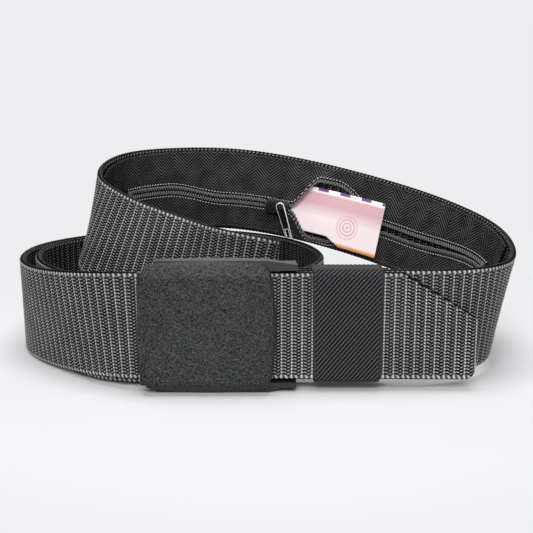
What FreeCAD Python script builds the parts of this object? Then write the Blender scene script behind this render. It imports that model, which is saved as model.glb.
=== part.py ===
import FreeCAD, Part
import math
import os
import Sketcher

# Coiled money belt: webbing strap standing on its edge, cam buckle, elastic keeper
# and a hidden zip pocket on the inner face of the outer loop.
# Millimetres, +Z up, origin under the middle of the coil at floor level.

NODE_FOLDER = "parts"

DIMENSIONS = [
    ("strap_width", 38.0),
    ("strap_thick", 2.4),
    ("front_plane", -61.0),
    ("strap_mid_height", 23.0),
    ("front_start", -30.0),
    ("tip_top_start", 48.2),
    ("tip_end", 73.8),
    ("tip_drop", 16.2),
    ("tip_corner", 3.5),
    ("fold_bar_x", 10.0),
    ("fold_bar_y", -55.4),
    ("fold_bar_radius", 1.2),
    ("fold_gap", 0.1),
    ("fold_length", 34.0),
    ("fold_merge", 12.0),
    ("stitch_inset", 3.0),
    ("thread_inset", 0.9),
    ("frame_left", -36.0),
    ("frame_right", 12.5),
    ("frame_front", -63.2),
    ("frame_back", -57.2),
    ("frame_back_right", -53.9),
    ("rail_crest_x", -11.0),
    ("rail_back_left", -60.4),
    ("rail_back_right", -61.4),
    ("bar_block_reach", 5.5),
    ("rail_height", 3.4),
    ("rail_end_height", 1.8),
    ("rail_corner_run", 10.0),
    ("rail_corner_rise_low", 3.6),
    ("rail_corner_rise_high", 1.4),
    ("rail_gap", 0.6),
    ("base_plate_left", -37.5),
    ("base_plate_right", -22.0),
    ("base_plate_thick", 2.0),
    ("base_plate_gap", 0.4),
    ("pivot_x", -39.6),
    ("pivot_y", -64.8),
    ("pin_radius", 0.9),
    ("pin_clearance", 0.06),
    ("pin_overhang", 0.3),
    ("lug_radius", 1.7),
    ("lug_height", 3.8),
    ("lug_length", 5.1),
    ("lug_gap", 0.4),
    ("flange_drop", 0.7),
    ("flange_thick", 0.9),
    ("flange_bite", 1.0),
    ("cover_gap", 0.3),
    ("hub_radius", 2.0),
    ("hub_web_width", 4.0),
    ("hub_web_left", 1.2),
    ("cam_reach", 2.3),
    ("cam_width", 0.6),
    ("cam_left", 0.2),
    ("cam_pitch", 1.1),
    ("cam_inset", 3.0),
    ("cover_left", -41.9),
    ("cover_right", 5.2),
    ("cover_front", -68.0),
    ("cover_back", -63.5),
    ("cover_height", 46.0),
    ("cover_bevel_side", 1.0),
    ("cover_bevel_top", 4.2),
    ("cover_corner", 4.0),
    ("cover_bulge_side", 2.2),
    ("cover_bulge_top", 0.9),
    ("cover_wall", 1.2),
    ("cover_rim", 0.2),
    ("cover_top_wall", 1.68),
    ("cover_opening", 1.4),
    ("keeper_left", 17.8),
    ("keeper_width", 23.5),
    ("keeper_wall", 0.8),
    ("keeper_height", 40.2),
    ("keeper_front", -63.4),
    ("keeper_back", -51.0),
    ("keeper_seam_width", 8.0),
    ("keeper_seam_inset", 2.0),
    ("pocket_right", 72.0),
    ("pocket_left", 298.0),
    ("zip_right", 84.0),
    ("zip_left", 271.0),
    ("tape_overrun", 4.0),
    ("stop_length", 1.8),
    ("stop_thick", 1.2),
    ("stop_gap", 0.1),
    ("slider_at", 195.0),
    ("slider_length", 11.0),
    ("slider_width", 6.4),
    ("slider_plate", 0.9),
    ("slider_head", 0.5),
    ("slider_corner", 1.6),
    ("slider_side", 0.7),
    ("slider_side_inset", 1.7),
    ("slider_side_foot", 0.75),
    ("layer_gap", 0.15),
    ("fit_gap", 0.05),
    ("pocket_spacing", 2.5),
    ("tape_thick", 0.35),
    ("tape_width", 4.2),
    ("coil_width", 1.85),
    ("coil_thick", 1.1),
    ("panel_thick", 0.55),
    ("panel_reach", 17.8),
    ("panel_setback", 3.4),
    ("tape_setback", 0.6),
    ("mouth_open_run", 13.0),
    ("mouth_close_start", 20.0),
    ("mouth_close_run", 27.0),
    ("ajar_half", 0.9),
    ("ajar_start", 10.0),
    ("ajar_run", 20.0),
    ("ajar_end_start", 60.0),
    ("ajar_end_run", 45.0),
    ("mouth_half", 12.6),
    ("zip_right_rise", 2.0),
    ("zip_sag", 2.4),
    ("sag_start", 85.0),
    ("sag_run", 45.0),
    ("slider_sag", 2.1),
    ("slider_sag_start", 176.0),
    ("slider_sag_run", 14.0),
    ("sag_end_start", 222.0),
    ("sag_end_run", 28.0),
    ("mouth_lift", 3.2),
    ("lift_lead", 6.0),
    ("lift_run", 15.0),
    ("lift_end_start", 13.0),
    ("lift_end_run", 8.0),
    ("row_gap", 0.25),
    ("pull_length", 20.0),
    ("pull_width", 4.0),
    ("pull_thick", 0.9),
    ("pull_post_radius", 0.7),
    ("pull_post_back", 1.5),
    ("pull_post_cap", 0.6),
    ("pull_post_spare", 0.6),
    ("pull_cap_thick", 0.5),
    ("pull_lift", 0.3),
    ("pull_taper", 0.5),
    ("pull_slot_width", 1.2),
    ("pull_slot_length", 5.0),
    ("pull_clearance", 0.08),
    ("pull_tilt", 26.0),
    ("note_length", 46.0),
    ("note_middle", -4.9),
    ("note_slider_gap", 0.8),
    ("note_lift", 0.25),
    ("note_trim_foot", -13.7),
    ("note_trim_start", 19.5),
    ("note_trim_end", 26.5),
    ("note_height", 24.8),
    ("note_thick", 0.4),
    ("note_curve", 107.0),
    ("note_rise", 4.9),
    ("thread_thick", 0.25),
    ("thread_width", 0.6),
]

# Route of the webbing's middle line from the sewn end to the buckle: x, y, height of the
# strap's middle and outward lean in degrees. The strap runs anticlockwise seen from above:
# right turn, high outer run with the pocket, left turn, slanting run down into the coil,
# one inner lap, one outer lap, then the buckle.
ROUTE = [
    (46, -56.6, 23, 0), (58, -56.4, 23, 1), (70, -53.6, 23, 4), (81, -46, 23, 7),
    (90, -29, 24, 12), (91, -7, 29.5, 14), (81, 17, 36, 12), (63, 37, 42, 9),
    (40, 51, 48, 5), (14, 59.5, 53.6, 2), (-16, 61.5, 57.7, -1), (-42, 53, 58.4, -4),
    (-60, 37, 57.5, -8), (-69, 19, 54, -12), (-68.5, 3, 49, -14), (-58, -7, 43.5, -10),
    (-40, -13, 37.5, -5), (-22, -17, 32.5, -1), (-4, -20, 29, 0), (3.5, -17.5, 26.8, 0),
    (5.6, -11, 25.5, 0), (1, -1, 24, 0), (-12, 18, 21.5, 0), (-30, 36, 19.5, 0),
    (-50, 47, 19.1, 0), (-69, 46, 19.1, 0), (-83, 35, 19.1, 0), (-91, 18, 19.1, 0),
    (-90.5, -1, 19.1, 0), (-83, -21, 19.1, 2), (-71, -38, 19.1, 3), (-58, -49.5, 19.1, 2),
    (-43, -53.5, 19.2, 0), (-18, -52, 19.5, 0), (-1, -49, 19.5, 0), (12, -40, 19.5, 0),
    (20, -25, 19.2, 0), (23.5, -11, 19.1, 0), (23, 5, 19.1, 0), (19, 21, 19.1, 0),
    (11, 37, 19.1, 0), (-4, 53, 19.1, 0), (-23, 63, 19.1, 0), (-44, 65, 19.1, 0),
    (-64, 58, 19.1, 0), (-82, 43, 19.1, 0), (-94, 23, 19.1, 0), (-96.5, 3, 19.1, 0),
    (-92.5, -15, 19.1, 2), (-83, -31, 19.5, 5), (-70, -44.5, 20.5, 5), (-57, -55, 22, 3),
    (-47, -59.7, 22.8, 1), (-39, -61, 23, 0), (-30, -61, 23, 0),
]

# Lengths of the strap between its bends: node name, first and last station of the route.
STRAP_LENGTHS = [
    ("strap_right_turn", 0, 6), ("strap_far_run", 6, 11), ("strap_left_turn", 11, 15),
    ("strap_slant_run", 15, 18), ("strap_inner_turn", 18, 21), ("strap_inner_back", 21, 26),
    ("strap_inner_left", 26, 31), ("strap_inner_front", 31, 35),
    ("strap_middle_turn", 35, 40), ("strap_outer_back", 40, 45),
    ("strap_outer_left", 45, 50), ("strap_entry", 50, 54),
]

doc = FreeCAD.newDocument("money_belt")
sheet = doc.addObject("Spreadsheet::Sheet", "Dimensions")
for row, (alias, value) in enumerate(DIMENSIONS, start=1):
    sheet.set(f"A{row}", alias)
    sheet.set(f"B{row}", str(value))
    sheet.setAlias(f"B{row}", alias)
doc.recompute()
size = {alias: float(sheet.get(alias)) for alias, value in DIMENSIONS}
nodes = []


def cell(text):
    """Expression text with each dimension's name written as a reference to its cell."""
    words = sorted(size, key=len, reverse=True)
    for number, word in enumerate(words):
        text = text.replace(word, f"@{number}@")
    for number, word in enumerate(words):
        text = text.replace(f"@{number}@", f"<<Dimensions>>.{word}")
    return text


sheet.Label = "Dimensions"


# ---------------------------------------------------------------- route of the strap

def spline_moments(knots, values):
    """Second derivatives of the natural cubic spline through the values."""
    count = len(knots)
    upper = [0.0] * count
    moment = [0.0] * count
    for i in range(1, count - 1):
        left = knots[i] - knots[i - 1]
        right = knots[i + 1] - knots[i]
        pivot = 2 * (left + right) - left * upper[i - 1]
        upper[i] = right / pivot
        bend = (values[i + 1] - values[i]) / right - (values[i] - values[i - 1]) / left
        moment[i] = (6 * bend - left * moment[i - 1]) / pivot
    for i in range(count - 2, 0, -1):
        moment[i] -= upper[i] * moment[i + 1]
    return moment


KNOTS = [0.0]
for before, after in zip(ROUTE, ROUTE[1:]):
    KNOTS.append(KNOTS[-1] + math.dist(before[:3], after[:3]))
COLUMNS = [[station[i] for station in ROUTE] for i in range(4)]
MOMENTS = [spline_moments(KNOTS, column) for column in COLUMNS]


def route_values(along):
    """Position, lean and their rates at a distance along the route."""
    last = len(KNOTS) - 2
    k = max(i for i in range(last + 1) if KNOTS[i] <= along or i == 0)
    step = KNOTS[k + 1] - KNOTS[k]
    a = (KNOTS[k + 1] - along) / step
    b = 1 - a
    values = []
    rates = []
    for column, moment in zip(COLUMNS, MOMENTS):
        bend = ((a**3 - a) * moment[k] + (b**3 - b) * moment[k + 1]) * step**2 / 6
        values.append(a * column[k] + b * column[k + 1] + bend)
        turn = ((3 * b**2 - 1) * moment[k + 1] - (3 * a**2 - 1) * moment[k]) * step / 6
        rates.append((column[k + 1] - column[k]) / step + turn)
    return values, rates


def strap_frame(along):
    """Point on the middle line, direction of travel, across the width, and outward."""
    values, rates = route_values(along)
    point = FreeCAD.Vector(*values[:3])
    travel = FreeCAD.Vector(*rates[:3]).normalize()
    level_out = FreeCAD.Vector(travel.y, -travel.x, 0).normalize()
    level_up = level_out.cross(travel)
    lean = math.radians(values[3])
    across = level_up * math.cos(lean) + level_out * math.sin(lean)
    outward = level_out * math.cos(lean) - level_up * math.sin(lean)
    return point, travel, across, outward


def strap_point(along, over, depth):
    """Point at a height over the strap's middle and a depth inward from its inner face."""
    point, _, across, outward = strap_frame(along)
    return point + across * over - outward * (size["strap_thick"] / 2 + depth)


def closed_wire(points):
    return Part.makePolygon(points + [points[0]])


def swept(first, last, corners, spacing):
    """Solid whose section is corners(along) -> [(over, depth), ...], along the strap.

    Each corner draws a smooth curve, ruled faces join neighbouring curves, and the two
    end sections close the shape.
    """
    count = max(3, math.ceil((last - first) / spacing))
    places = [first + (last - first) * i / count for i in range(count + 1)]
    sections = [[strap_point(a, over, depth) for over, depth in corners(a)] for a in places]
    rails = []
    for corner in zip(*sections):
        curve = Part.BSplineCurve()
        curve.interpolate(Points=list(corner), Parameters=places)
        rails.append(curve.toShape())
    faces = [Part.makeRuledSurface(rails[i - 1], rails[i]) for i in range(len(rails))]
    faces += [Part.Face(closed_wire(list(end))) for end in (sections[0], sections[-1])]
    shell = Part.Shell(faces)
    shell.sewShape()
    solid = Part.Solid(shell)
    if solid.Volume < 0:
        solid.reverse()
    return solid


def add_shape(name, shape, placement=None):
    """Sub-part whose shape comes from Part's own functions."""
    piece = doc.addObject("Part::Feature", name)
    piece.Label = name
    piece.Shape = shape
    piece.Placement = placement or FreeCAD.Placement()
    nodes.append(piece)
    return piece


# ---------------------------------------------------------------- sketches and primitives

def origin_plane(body, role):
    return next(f for f in body.Origin.OriginFeatures if f.Role == role)


def polygon_sketch(body, name, role, loops):
    """Sketch of closed polygons whose corners are pairs of expressions, all positive."""
    sketch = body.newObject("Sketcher::SketchObject", name)
    sketch.AttachmentSupport = (origin_plane(body, role), "")
    sketch.MapMode = "FlatFace"
    for loop in loops:
        start = sketch.GeometryCount
        count = len(loop)
        guess = [FreeCAD.Vector(10.0 * i + 1, 7.0 * (i % 3) + 1, 0) for i in range(count)]
        for i in range(count):
            line = Part.LineSegment(guess[i], guess[(i + 1) % count])
            sketch.addGeometry(line, False)
        for i in range(count):
            following = start + (i + 1) % count
            sketch.addConstraint(Sketcher.Constraint("Coincident", start + i, 2, following, 1))
        for i, corner in enumerate(loop):
            for kind, text in zip(("DistanceX", "DistanceY"), corner):
                rule = Sketcher.Constraint(kind, -1, 1, start + i, 1, 5.0)
                index = sketch.addConstraint(rule)
                sketch.setExpression(f"Constraints[{index}]", cell(text))
    return sketch


def bind(feature, **expressions):
    for name, text in expressions.items():
        feature.setExpression(name.replace("__", "."), cell(text))
    return feature


def box(name, corner, sides):
    """Part box with its low corner and side lengths given as expressions."""
    block = doc.addObject("Part::Box", name)
    bind(block, Length=sides[0], Width=sides[1], Height=sides[2])
    for axis, text in zip("xyz", corner):
        block.setExpression(f"Placement.Base.{axis}", cell(text))
    return block


def cylinder(name, base, radius, height):
    """Upright Part cylinder with its foot, radius and height given as expressions."""
    rod = doc.addObject("Part::Cylinder", name)
    bind(rod, Radius=radius, Height=height)
    for axis, text in zip("xyz", base):
        rod.setExpression(f"Placement.Base.{axis}", cell(text))
    return rod


def fuse(name, shapes):
    joined = doc.addObject("Part::MultiFuse", name)
    joined.Shapes = shapes
    joined.Refine = True
    return joined


def cut(name, base, tool):
    result = doc.addObject("Part::Cut", name)
    result.Base = base
    result.Tool = tool
    result.Refine = True
    return result


def keep(feature, label):
    feature.Label = label
    nodes.append(feature)
    return feature


# ---------------------------------------------------------------- strap

def strap_section(along):
    half = size["strap_width"] / 2
    thick = size["strap_thick"]
    return [(-half, -thick), (half, -thick), (half, 0), (-half, 0)]


def make_strap_lengths():
    for name, first, last in STRAP_LENGTHS:
        spacing = 1.5 if name == "strap_inner_turn" else 5.0
        add_shape(name, swept(KNOTS[first], KNOTS[last], strap_section, spacing))


def make_strap_front():
    """Straight front run through buckle and keeper, with its slanting tip."""
    body = doc.addObject("PartDesign::Body", "strap_front")
    corners = [
        ("0.0001", "0.0001"),
        ("tip_end - front_start", "0.0001"),
        ("tip_end - front_start", "strap_width - tip_drop"),
        ("tip_top_start - front_start", "strap_width"),
        ("0.0001", "strap_width"),
    ]
    sketch = polygon_sketch(body, "front_outline", "XZ_Plane", [corners])
    pad = body.newObject("PartDesign::Pad", "front_pad")
    pad.Profile = sketch
    bind(pad, Length="strap_thick")
    doc.recompute()
    tip = FreeCAD.Vector(size["tip_end"] - size["front_start"], 0, 0)
    corner = [
        f"Edge{i}" for i, edge in enumerate(pad.Shape.Edges, start=1)
        if edge.Length < size["strap_thick"] * 1.01
        and abs(edge.CenterOfMass.x - tip.x) < 0.1 and abs(edge.CenterOfMass.z) < 0.1
    ]
    rounded = body.newObject("PartDesign::Fillet", "front_corner")
    rounded.Base = (pad, corner)
    bind(rounded, Radius="tip_corner")
    bind(
        body,
        Placement__Base__x="front_start",
        Placement__Base__y="front_plane + strap_thick / 2",
        Placement__Base__z="strap_mid_height - strap_width / 2",
    )
    keep(body, "strap_front")


def make_strap_fixed_end():
    """End of the strap folded back round the frame's bar and sewn to itself."""
    thick = size["strap_thick"]
    inner = size["fold_bar_radius"] + size["fold_gap"]
    outer = inner + thick
    bar = FreeCAD.Vector(size["fold_bar_x"], size["fold_bar_y"], 0)
    main = ROUTE[0][1]
    merge = size["fold_bar_x"] + size["fold_merge"]
    free_end = size["fold_bar_x"] + size["fold_length"]
    start = ROUTE[0][0]
    touch = main + thick / 2 + size["layer_gap"]

    def at(x, y):
        return FreeCAD.Vector(x, y, 0)

    front = [at(start, main - thick / 2), at(merge, main - thick / 2), at(bar.x, bar.y - outer)]
    back = [at(bar.x, bar.y + outer), at(merge, touch + thick), at(free_end, touch + thick)]
    inside = [
        at(free_end, touch), at(merge, touch), at(bar.x, bar.y + inner),
        at(bar.x, bar.y - inner), at(merge, main + thick / 2), at(start, main + thick / 2),
    ]
    edges = [Part.LineSegment(front[0], front[1]), Part.LineSegment(front[1], front[2])]
    edges.append(Part.Arc(front[2], at(bar.x - outer, bar.y), back[0]))
    edges.append(Part.LineSegment(back[0], back[1]))
    edges.append(Part.LineSegment(back[1], back[2]))
    edges.append(Part.LineSegment(back[2], inside[0]))
    edges.append(Part.LineSegment(inside[0], inside[1]))
    edges.append(Part.LineSegment(inside[1], inside[2]))
    edges.append(Part.Arc(inside[2], at(bar.x - inner, bar.y), inside[3]))
    edges.append(Part.LineSegment(inside[3], inside[4]))
    edges.append(Part.LineSegment(inside[4], inside[5]))
    edges.append(Part.LineSegment(inside[5], front[0]))
    outline = Part.Face(Part.Wire([edge.toShape() for edge in edges]))
    solid = outline.extrude(FreeCAD.Vector(0, 0, size["strap_width"]))
    low = size["strap_mid_height"] - size["strap_width"] / 2
    place = FreeCAD.Placement(FreeCAD.Vector(0, 0, low), FreeCAD.Rotation())
    add_shape("strap_fixed_end", solid, place)
    return at(free_end, touch + thick), at(merge, touch + thick), low


def make_fold_stitches(free_end, merge, low):
    """Two upright rows of bar tacks that sew the folded end down."""
    thread = size["thread_thick"]
    wide = size["thread_width"] * 2
    inset = size["stitch_inset"]
    for side, place in (("near", merge.x + inset), ("far", free_end.x - inset)):
        box_name = f"fold_stitch_{side}"
        tack = box(
            box_name, (str(place), str(free_end.y), str(low + inset)),
            (str(wide), str(thread), "strap_width - 2 * stitch_inset"),
        )
        keep(tack, box_name)


# ---------------------------------------------------------------- buckle

def make_rail(side):
    """Rail with an arched back edge and a slanting corner at its right end."""
    left, right = size["frame_left"], size["frame_right"]
    front, crest = size["frame_front"], size["frame_back"]
    middle, height = size["strap_mid_height"], size["rail_height"]
    inner = size["strap_width"] / 2 + size["rail_gap"]
    foot = middle + inner if side == "high" else middle - inner - height

    def at(x, y):
        return FreeCAD.Vector(x, y, foot)

    back_left, back_right = at(left, size["rail_back_left"]), at(right, size["rail_back_right"])
    edges = [
        Part.LineSegment(at(left, front), at(right, front)),
        Part.LineSegment(at(right, front), back_right),
        Part.Arc(back_right, at(size["rail_crest_x"], crest), back_left),
        Part.LineSegment(back_left, at(left, front)),
    ]
    outline = Part.Face(Part.Wire([edge.toShape() for edge in edges]))
    bar = outline.extrude(FreeCAD.Vector(0, 0, height))
    outside, sign = (foot, 1) if side == "low" else (foot + height, -1)
    rise = size[f"rail_corner_rise_{side}"]
    corner = closed_wire([
        FreeCAD.Vector(right - size["rail_corner_run"], front, outside),
        FreeCAD.Vector(right, front, outside),
        FreeCAD.Vector(right, front, outside + sign * rise),
    ])
    rail = doc.addObject("Part::Feature", f"rail_{side}")
    rail.Shape = bar.cut(Part.Face(corner).extrude(FreeCAD.Vector(0, crest - front, 0)))
    return rail


def make_frame():
    """Buckle frame: two rails, crossbar, base plate and the lugs that hold the pin."""
    low_rail = "strap_mid_height - strap_width / 2 - rail_gap - rail_height"
    high_rail = "strap_mid_height + strap_width / 2 + rail_gap"
    parts = []
    ends = {"low": low_rail + " + rail_height - rail_end_height", "high": high_rail}
    for side, foot in (("low", low_rail), ("high", high_rail)):
        parts.append(make_rail(side))
        parts.append(box(
            f"rail_end_{side}", ("fold_bar_x - bar_block_reach", "frame_front", ends[side]),
            ("frame_right - fold_bar_x + bar_block_reach - cover_gap",
             "frame_back_right - frame_front", "rail_end_height"),
        ))
    inside = "strap_width + 2 * rail_gap"
    parts.append(cylinder(
        "fold_bar", ("fold_bar_x", "fold_bar_y", low_rail + " + rail_height"),
        "fold_bar_radius", inside,
    ))
    parts.append(box(
        "base_plate",
        ("base_plate_left", "front_plane + strap_thick / 2 + base_plate_gap", low_rail + " + rail_height"),
        ("base_plate_right - base_plate_left", "base_plate_thick", inside),
    ))
    low_lug = "strap_mid_height - strap_width / 2 - lug_gap"
    high_lug = "strap_mid_height + strap_width / 2 + lug_gap - lug_height"
    for side, foot in (("low", low_lug), ("high", high_lug)):
        parts.append(cylinder(
            f"lug_round_{side}", ("pivot_x", "pivot_y", foot), "lug_radius", "lug_height",
        ))
        parts.append(box(
            f"lug_block_{side}", ("pivot_x", "pivot_y - lug_radius", foot),
            ("lug_length", "lug_radius - pivot_y + front_plane - strap_thick / 2 - cover_gap",
             "lug_height"),
        ))
    for side, foot in (
        ("low", "strap_mid_height - strap_width / 2 - rail_gap - flange_drop"),
        ("high", "strap_mid_height + strap_width / 2 + rail_gap + flange_drop - flange_thick"),
    ):
        parts.append(box(
            f"flange_{side}", ("pivot_x", "pivot_y + cover_gap", foot),
            ("lug_length", "frame_front - pivot_y + flange_bite", "flange_thick"),
        ))
    solid = fuse("frame_blank", parts)
    hole = cylinder(
        "pin_hole", ("pivot_x", "pivot_y", "strap_mid_height - strap_width / 2 - pin_overhang"),
        "pin_radius", "strap_width + 2 * pin_overhang",
    )
    keep(cut("frame_drilled", solid, hole), "buckle_frame")


def make_pin():
    pin = cylinder(
        "pin", ("pivot_x", "pivot_y", "strap_mid_height - strap_width / 2 - pin_overhang"),
        "pin_radius", "strap_width + 2 * pin_overhang",
    )
    keep(pin, "hinge_pin")


def barrel_wire(y, inset_side, inset_top, corner):
    """Rounded outline with gently bowed sides, upright in the plane y."""
    left = size["cover_left"] + inset_side
    right = size["cover_right"] - inset_side
    middle = size["strap_mid_height"]
    half = size["cover_height"] / 2 - inset_top
    side_bow = size["cover_bulge_side"]
    top_bow = size["cover_bulge_top"]
    centre = (left + right) / 2

    def at(x, z):
        return FreeCAD.Vector(x, y, z)

    low, high = middle - half + top_bow, middle + half - top_bow
    west, east = left + side_bow, right - side_bow
    lines = [
        (at(west + corner, high), at(centre, middle + half), at(east - corner, high)),
        (at(east, high - corner), at(right, middle), at(east, low + corner)),
        (at(east - corner, low), at(centre, middle - half), at(west + corner, low)),
        (at(west, low + corner), at(left, middle), at(west, high - corner)),
    ]
    diagonal = corner * (1 - math.sqrt(0.5))
    corners = [
        at(east - diagonal, high - diagonal), at(east - diagonal, low + diagonal),
        at(west + diagonal, low + diagonal), at(west + diagonal, high - diagonal),
    ]
    edges = []
    for i, (start, bow, end) in enumerate(lines):
        edges.append(Part.Arc(start, bow, end).toShape())
        edges.append(Part.Arc(end, corners[i], lines[(i + 1) % 4][0]).toShape())
    return Part.Wire(edges)


def make_cover():
    """Hinged cover: bevelled bowed shell with the cam and its hub on the inside."""
    front, back = size["cover_front"], size["cover_back"]
    side, top = size["cover_bevel_side"], size["cover_bevel_top"]
    wall, corner, rim = size["cover_wall"], size["cover_corner"], size["cover_rim"]
    outer = Part.makeLoft([
        barrel_wire(back, 0, 0, corner), barrel_wire(front, side, top, corner),
    ], True, True)
    hollow = Part.makeLoft([
        barrel_wire(back + rim, wall, size["cover_top_wall"], corner - wall / 2),
        barrel_wire(front + wall, side + wall, top - rim + wall, corner - wall / 2),
    ], True, True)
    shell = outer.cut(hollow)
    x, y = size["pivot_x"], size["pivot_y"]
    middle, half = size["strap_mid_height"], size["strap_width"] / 2
    gap = size["cover_gap"]
    lug_top = half + size["lug_gap"]
    lug_foot = lug_top - size["lug_height"]
    flange_top = half + size["rail_gap"] + size["flange_drop"]
    wide = size["cover_right"] - size["cover_left"]
    tall = size["cover_height"]
    opening = x + size["lug_radius"] + size["cover_opening"]
    strap_space = Part.makeBox(wide, wide, 2 * tall, FreeCAD.Vector(opening - wide, y + gap, middle - tall))
    shell = shell.cut(strap_space)
    hub_half = lug_foot - gap
    hub = Part.makeCylinder(size["hub_radius"], 2 * hub_half, FreeCAD.Vector(x, y, middle - hub_half))
    web_foot = front + wall / 2
    hub_web = Part.makeBox(
        size["hub_web_width"], y - web_foot, 2 * hub_half,
        FreeCAD.Vector(x - size["hub_web_left"], web_foot, middle - hub_half),
    )
    shell = shell.fuse([hub, hub_web])
    cam_half = hub_half - size["cam_inset"]
    for k in range(2):
        left = x + size["cam_left"] + k * size["cam_pitch"]
        ridge = Part.makeBox(
            size["cam_width"], size["cam_reach"], 2 * cam_half, FreeCAD.Vector(left, y, middle - cam_half),
        )
        shell = shell.fuse(ridge)
    reach_left = x - size["cover_left"] + size["lug_length"]
    for sign in (-1, 1):
        for rise, nearest in ((lug_top + gap, front + wall), (flange_top + gap, y)):
            low = middle + hub_half if sign > 0 else middle - rise
            space = Part.makeBox(
                2 * reach_left, wide, rise - hub_half, FreeCAD.Vector(x - reach_left, nearest, low),
            )
            shell = shell.cut(space)
    bore = Part.makeCylinder(
        size["pin_radius"] + size["pin_clearance"], 2 * half, FreeCAD.Vector(x, y, middle - half),
    )
    shell = shell.cut(bore).removeSplitter()
    add_shape("buckle_cover", shell.Solids[0] if len(shell.Solids) == 1 else shell)


# ---------------------------------------------------------------- keeper

def make_keeper():
    """Elastic band round the strap layers: a hollow sketch padded along the strap."""
    body = doc.addObject("PartDesign::Body", "keeper_loop")
    deep, tall, wall = "(keeper_back - keeper_front)", "keeper_height", "keeper_wall"
    ring = [("0.0001", "0.0001"), (deep, "0.0001"), (deep, tall), ("0.0001", tall)]
    hole = [
        (wall, wall), (f"{deep} - {wall}", wall),
        (f"{deep} - {wall}", f"{tall} - {wall}"), (wall, f"{tall} - {wall}"),
    ]
    sketch = polygon_sketch(body, "keeper_outline", "YZ_Plane", [ring, hole])
    pad = body.newObject("PartDesign::Pad", "keeper_pad")
    pad.Profile = sketch
    bind(pad, Length="keeper_width")
    doc.recompute()
    depth = size["keeper_back"] - size["keeper_front"]
    outside = [
        f"Edge{i}" for i, edge in enumerate(pad.Shape.Edges, start=1)
        if abs(edge.Length - size["keeper_width"]) < 0.01
        and min(abs(edge.CenterOfMass.y), abs(edge.CenterOfMass.y - depth)) < 0.01
    ]
    rounded = body.newObject("PartDesign::Fillet", "keeper_corners")
    rounded.Base = (pad, outside)
    bind(rounded, Radius="keeper_wall")
    bind(
        body,
        Placement__Base__x="keeper_left",
        Placement__Base__y="keeper_front",
        Placement__Base__z="strap_mid_height - keeper_height / 2",
    )
    keep(body, "keeper_loop")
    seam = box(
        "keeper_seam",
        ("keeper_left + keeper_width / 2 - keeper_seam_width / 2", "keeper_back",
         "strap_mid_height - keeper_height / 2 + keeper_seam_inset"),
        ("keeper_seam_width", "thread_thick", "keeper_height - 2 * keeper_seam_inset"),
    )
    keep(seam, "keeper_seam")


# ---------------------------------------------------------------- pocket and zip

def smooth(value):
    """Rise from 0 to 1 with level ends."""
    value = min(1.0, max(0.0, value))
    return value * value * (3 - 2 * value)


def zip_middle(along):
    """Height of the zip's line over the strap's middle: it sags, most of all at the slider."""
    sag_part = smooth((along - size["sag_start"]) / size["sag_run"])
    slider_part = smooth((along - size["slider_sag_start"]) / size["slider_sag_run"])
    left_part = smooth((along - size["sag_end_start"]) / size["sag_end_run"])
    sag = size["zip_sag"] * sag_part + size["slider_sag"] * slider_part
    return size["zip_right_rise"] * (1 - sag_part) - sag * (1 - left_part)


def to_right_of_mouth(along):
    """Distance to the right of the mouth's left end, where the slider stops."""
    return size["slider_at"] - size["slider_length"] / 2 - along


def row_edge(along, side):
    """Distance of one zip row's edge from the strap's middle: wide open at the mouth."""
    right = to_right_of_mouth(along)
    closing = smooth((right - size["mouth_close_start"]) / size["mouth_close_run"])
    opened = smooth(right / size["mouth_open_run"]) * (1 - closing)
    shut = smooth((right - size["ajar_end_start"]) / size["ajar_end_run"])
    ajar = size["ajar_half"] * smooth((right - size["ajar_start"]) / size["ajar_run"]) * (1 - shut)
    half = size["row_gap"] + opened * (size["mouth_half"] - size["row_gap"]) + (1 - opened) * ajar
    return half + side * zip_middle(along)


def row_lift(along):
    """Height that the open edges stand off the strap around the mouth."""
    right = to_right_of_mouth(along)
    rising = smooth((right + size["lift_lead"]) / size["lift_run"])
    falling = smooth((right - size["lift_end_start"]) / size["lift_end_run"])
    return size["mouth_lift"] * rising * (1 - falling)


def layer(along, low, high, depth, thick, side):
    """Section of a pocket layer between two heights, raised at its zip edge."""
    edge = row_edge(along, side)
    lift = row_lift(along)
    reach = size["panel_reach"]

    def raised(over):
        return lift * (reach - min(over, reach)) / (reach - edge)

    corners = [
        (low, depth + raised(low)), (high, depth + raised(high)),
        (high, depth + raised(high) + thick), (low, depth + raised(low) + thick),
    ]
    return [(side * over, out) for over, out in corners]


TAPE_DEPTH = size["layer_gap"]
ROW_DEPTH = TAPE_DEPTH + size["tape_thick"] + size["layer_gap"]


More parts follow.
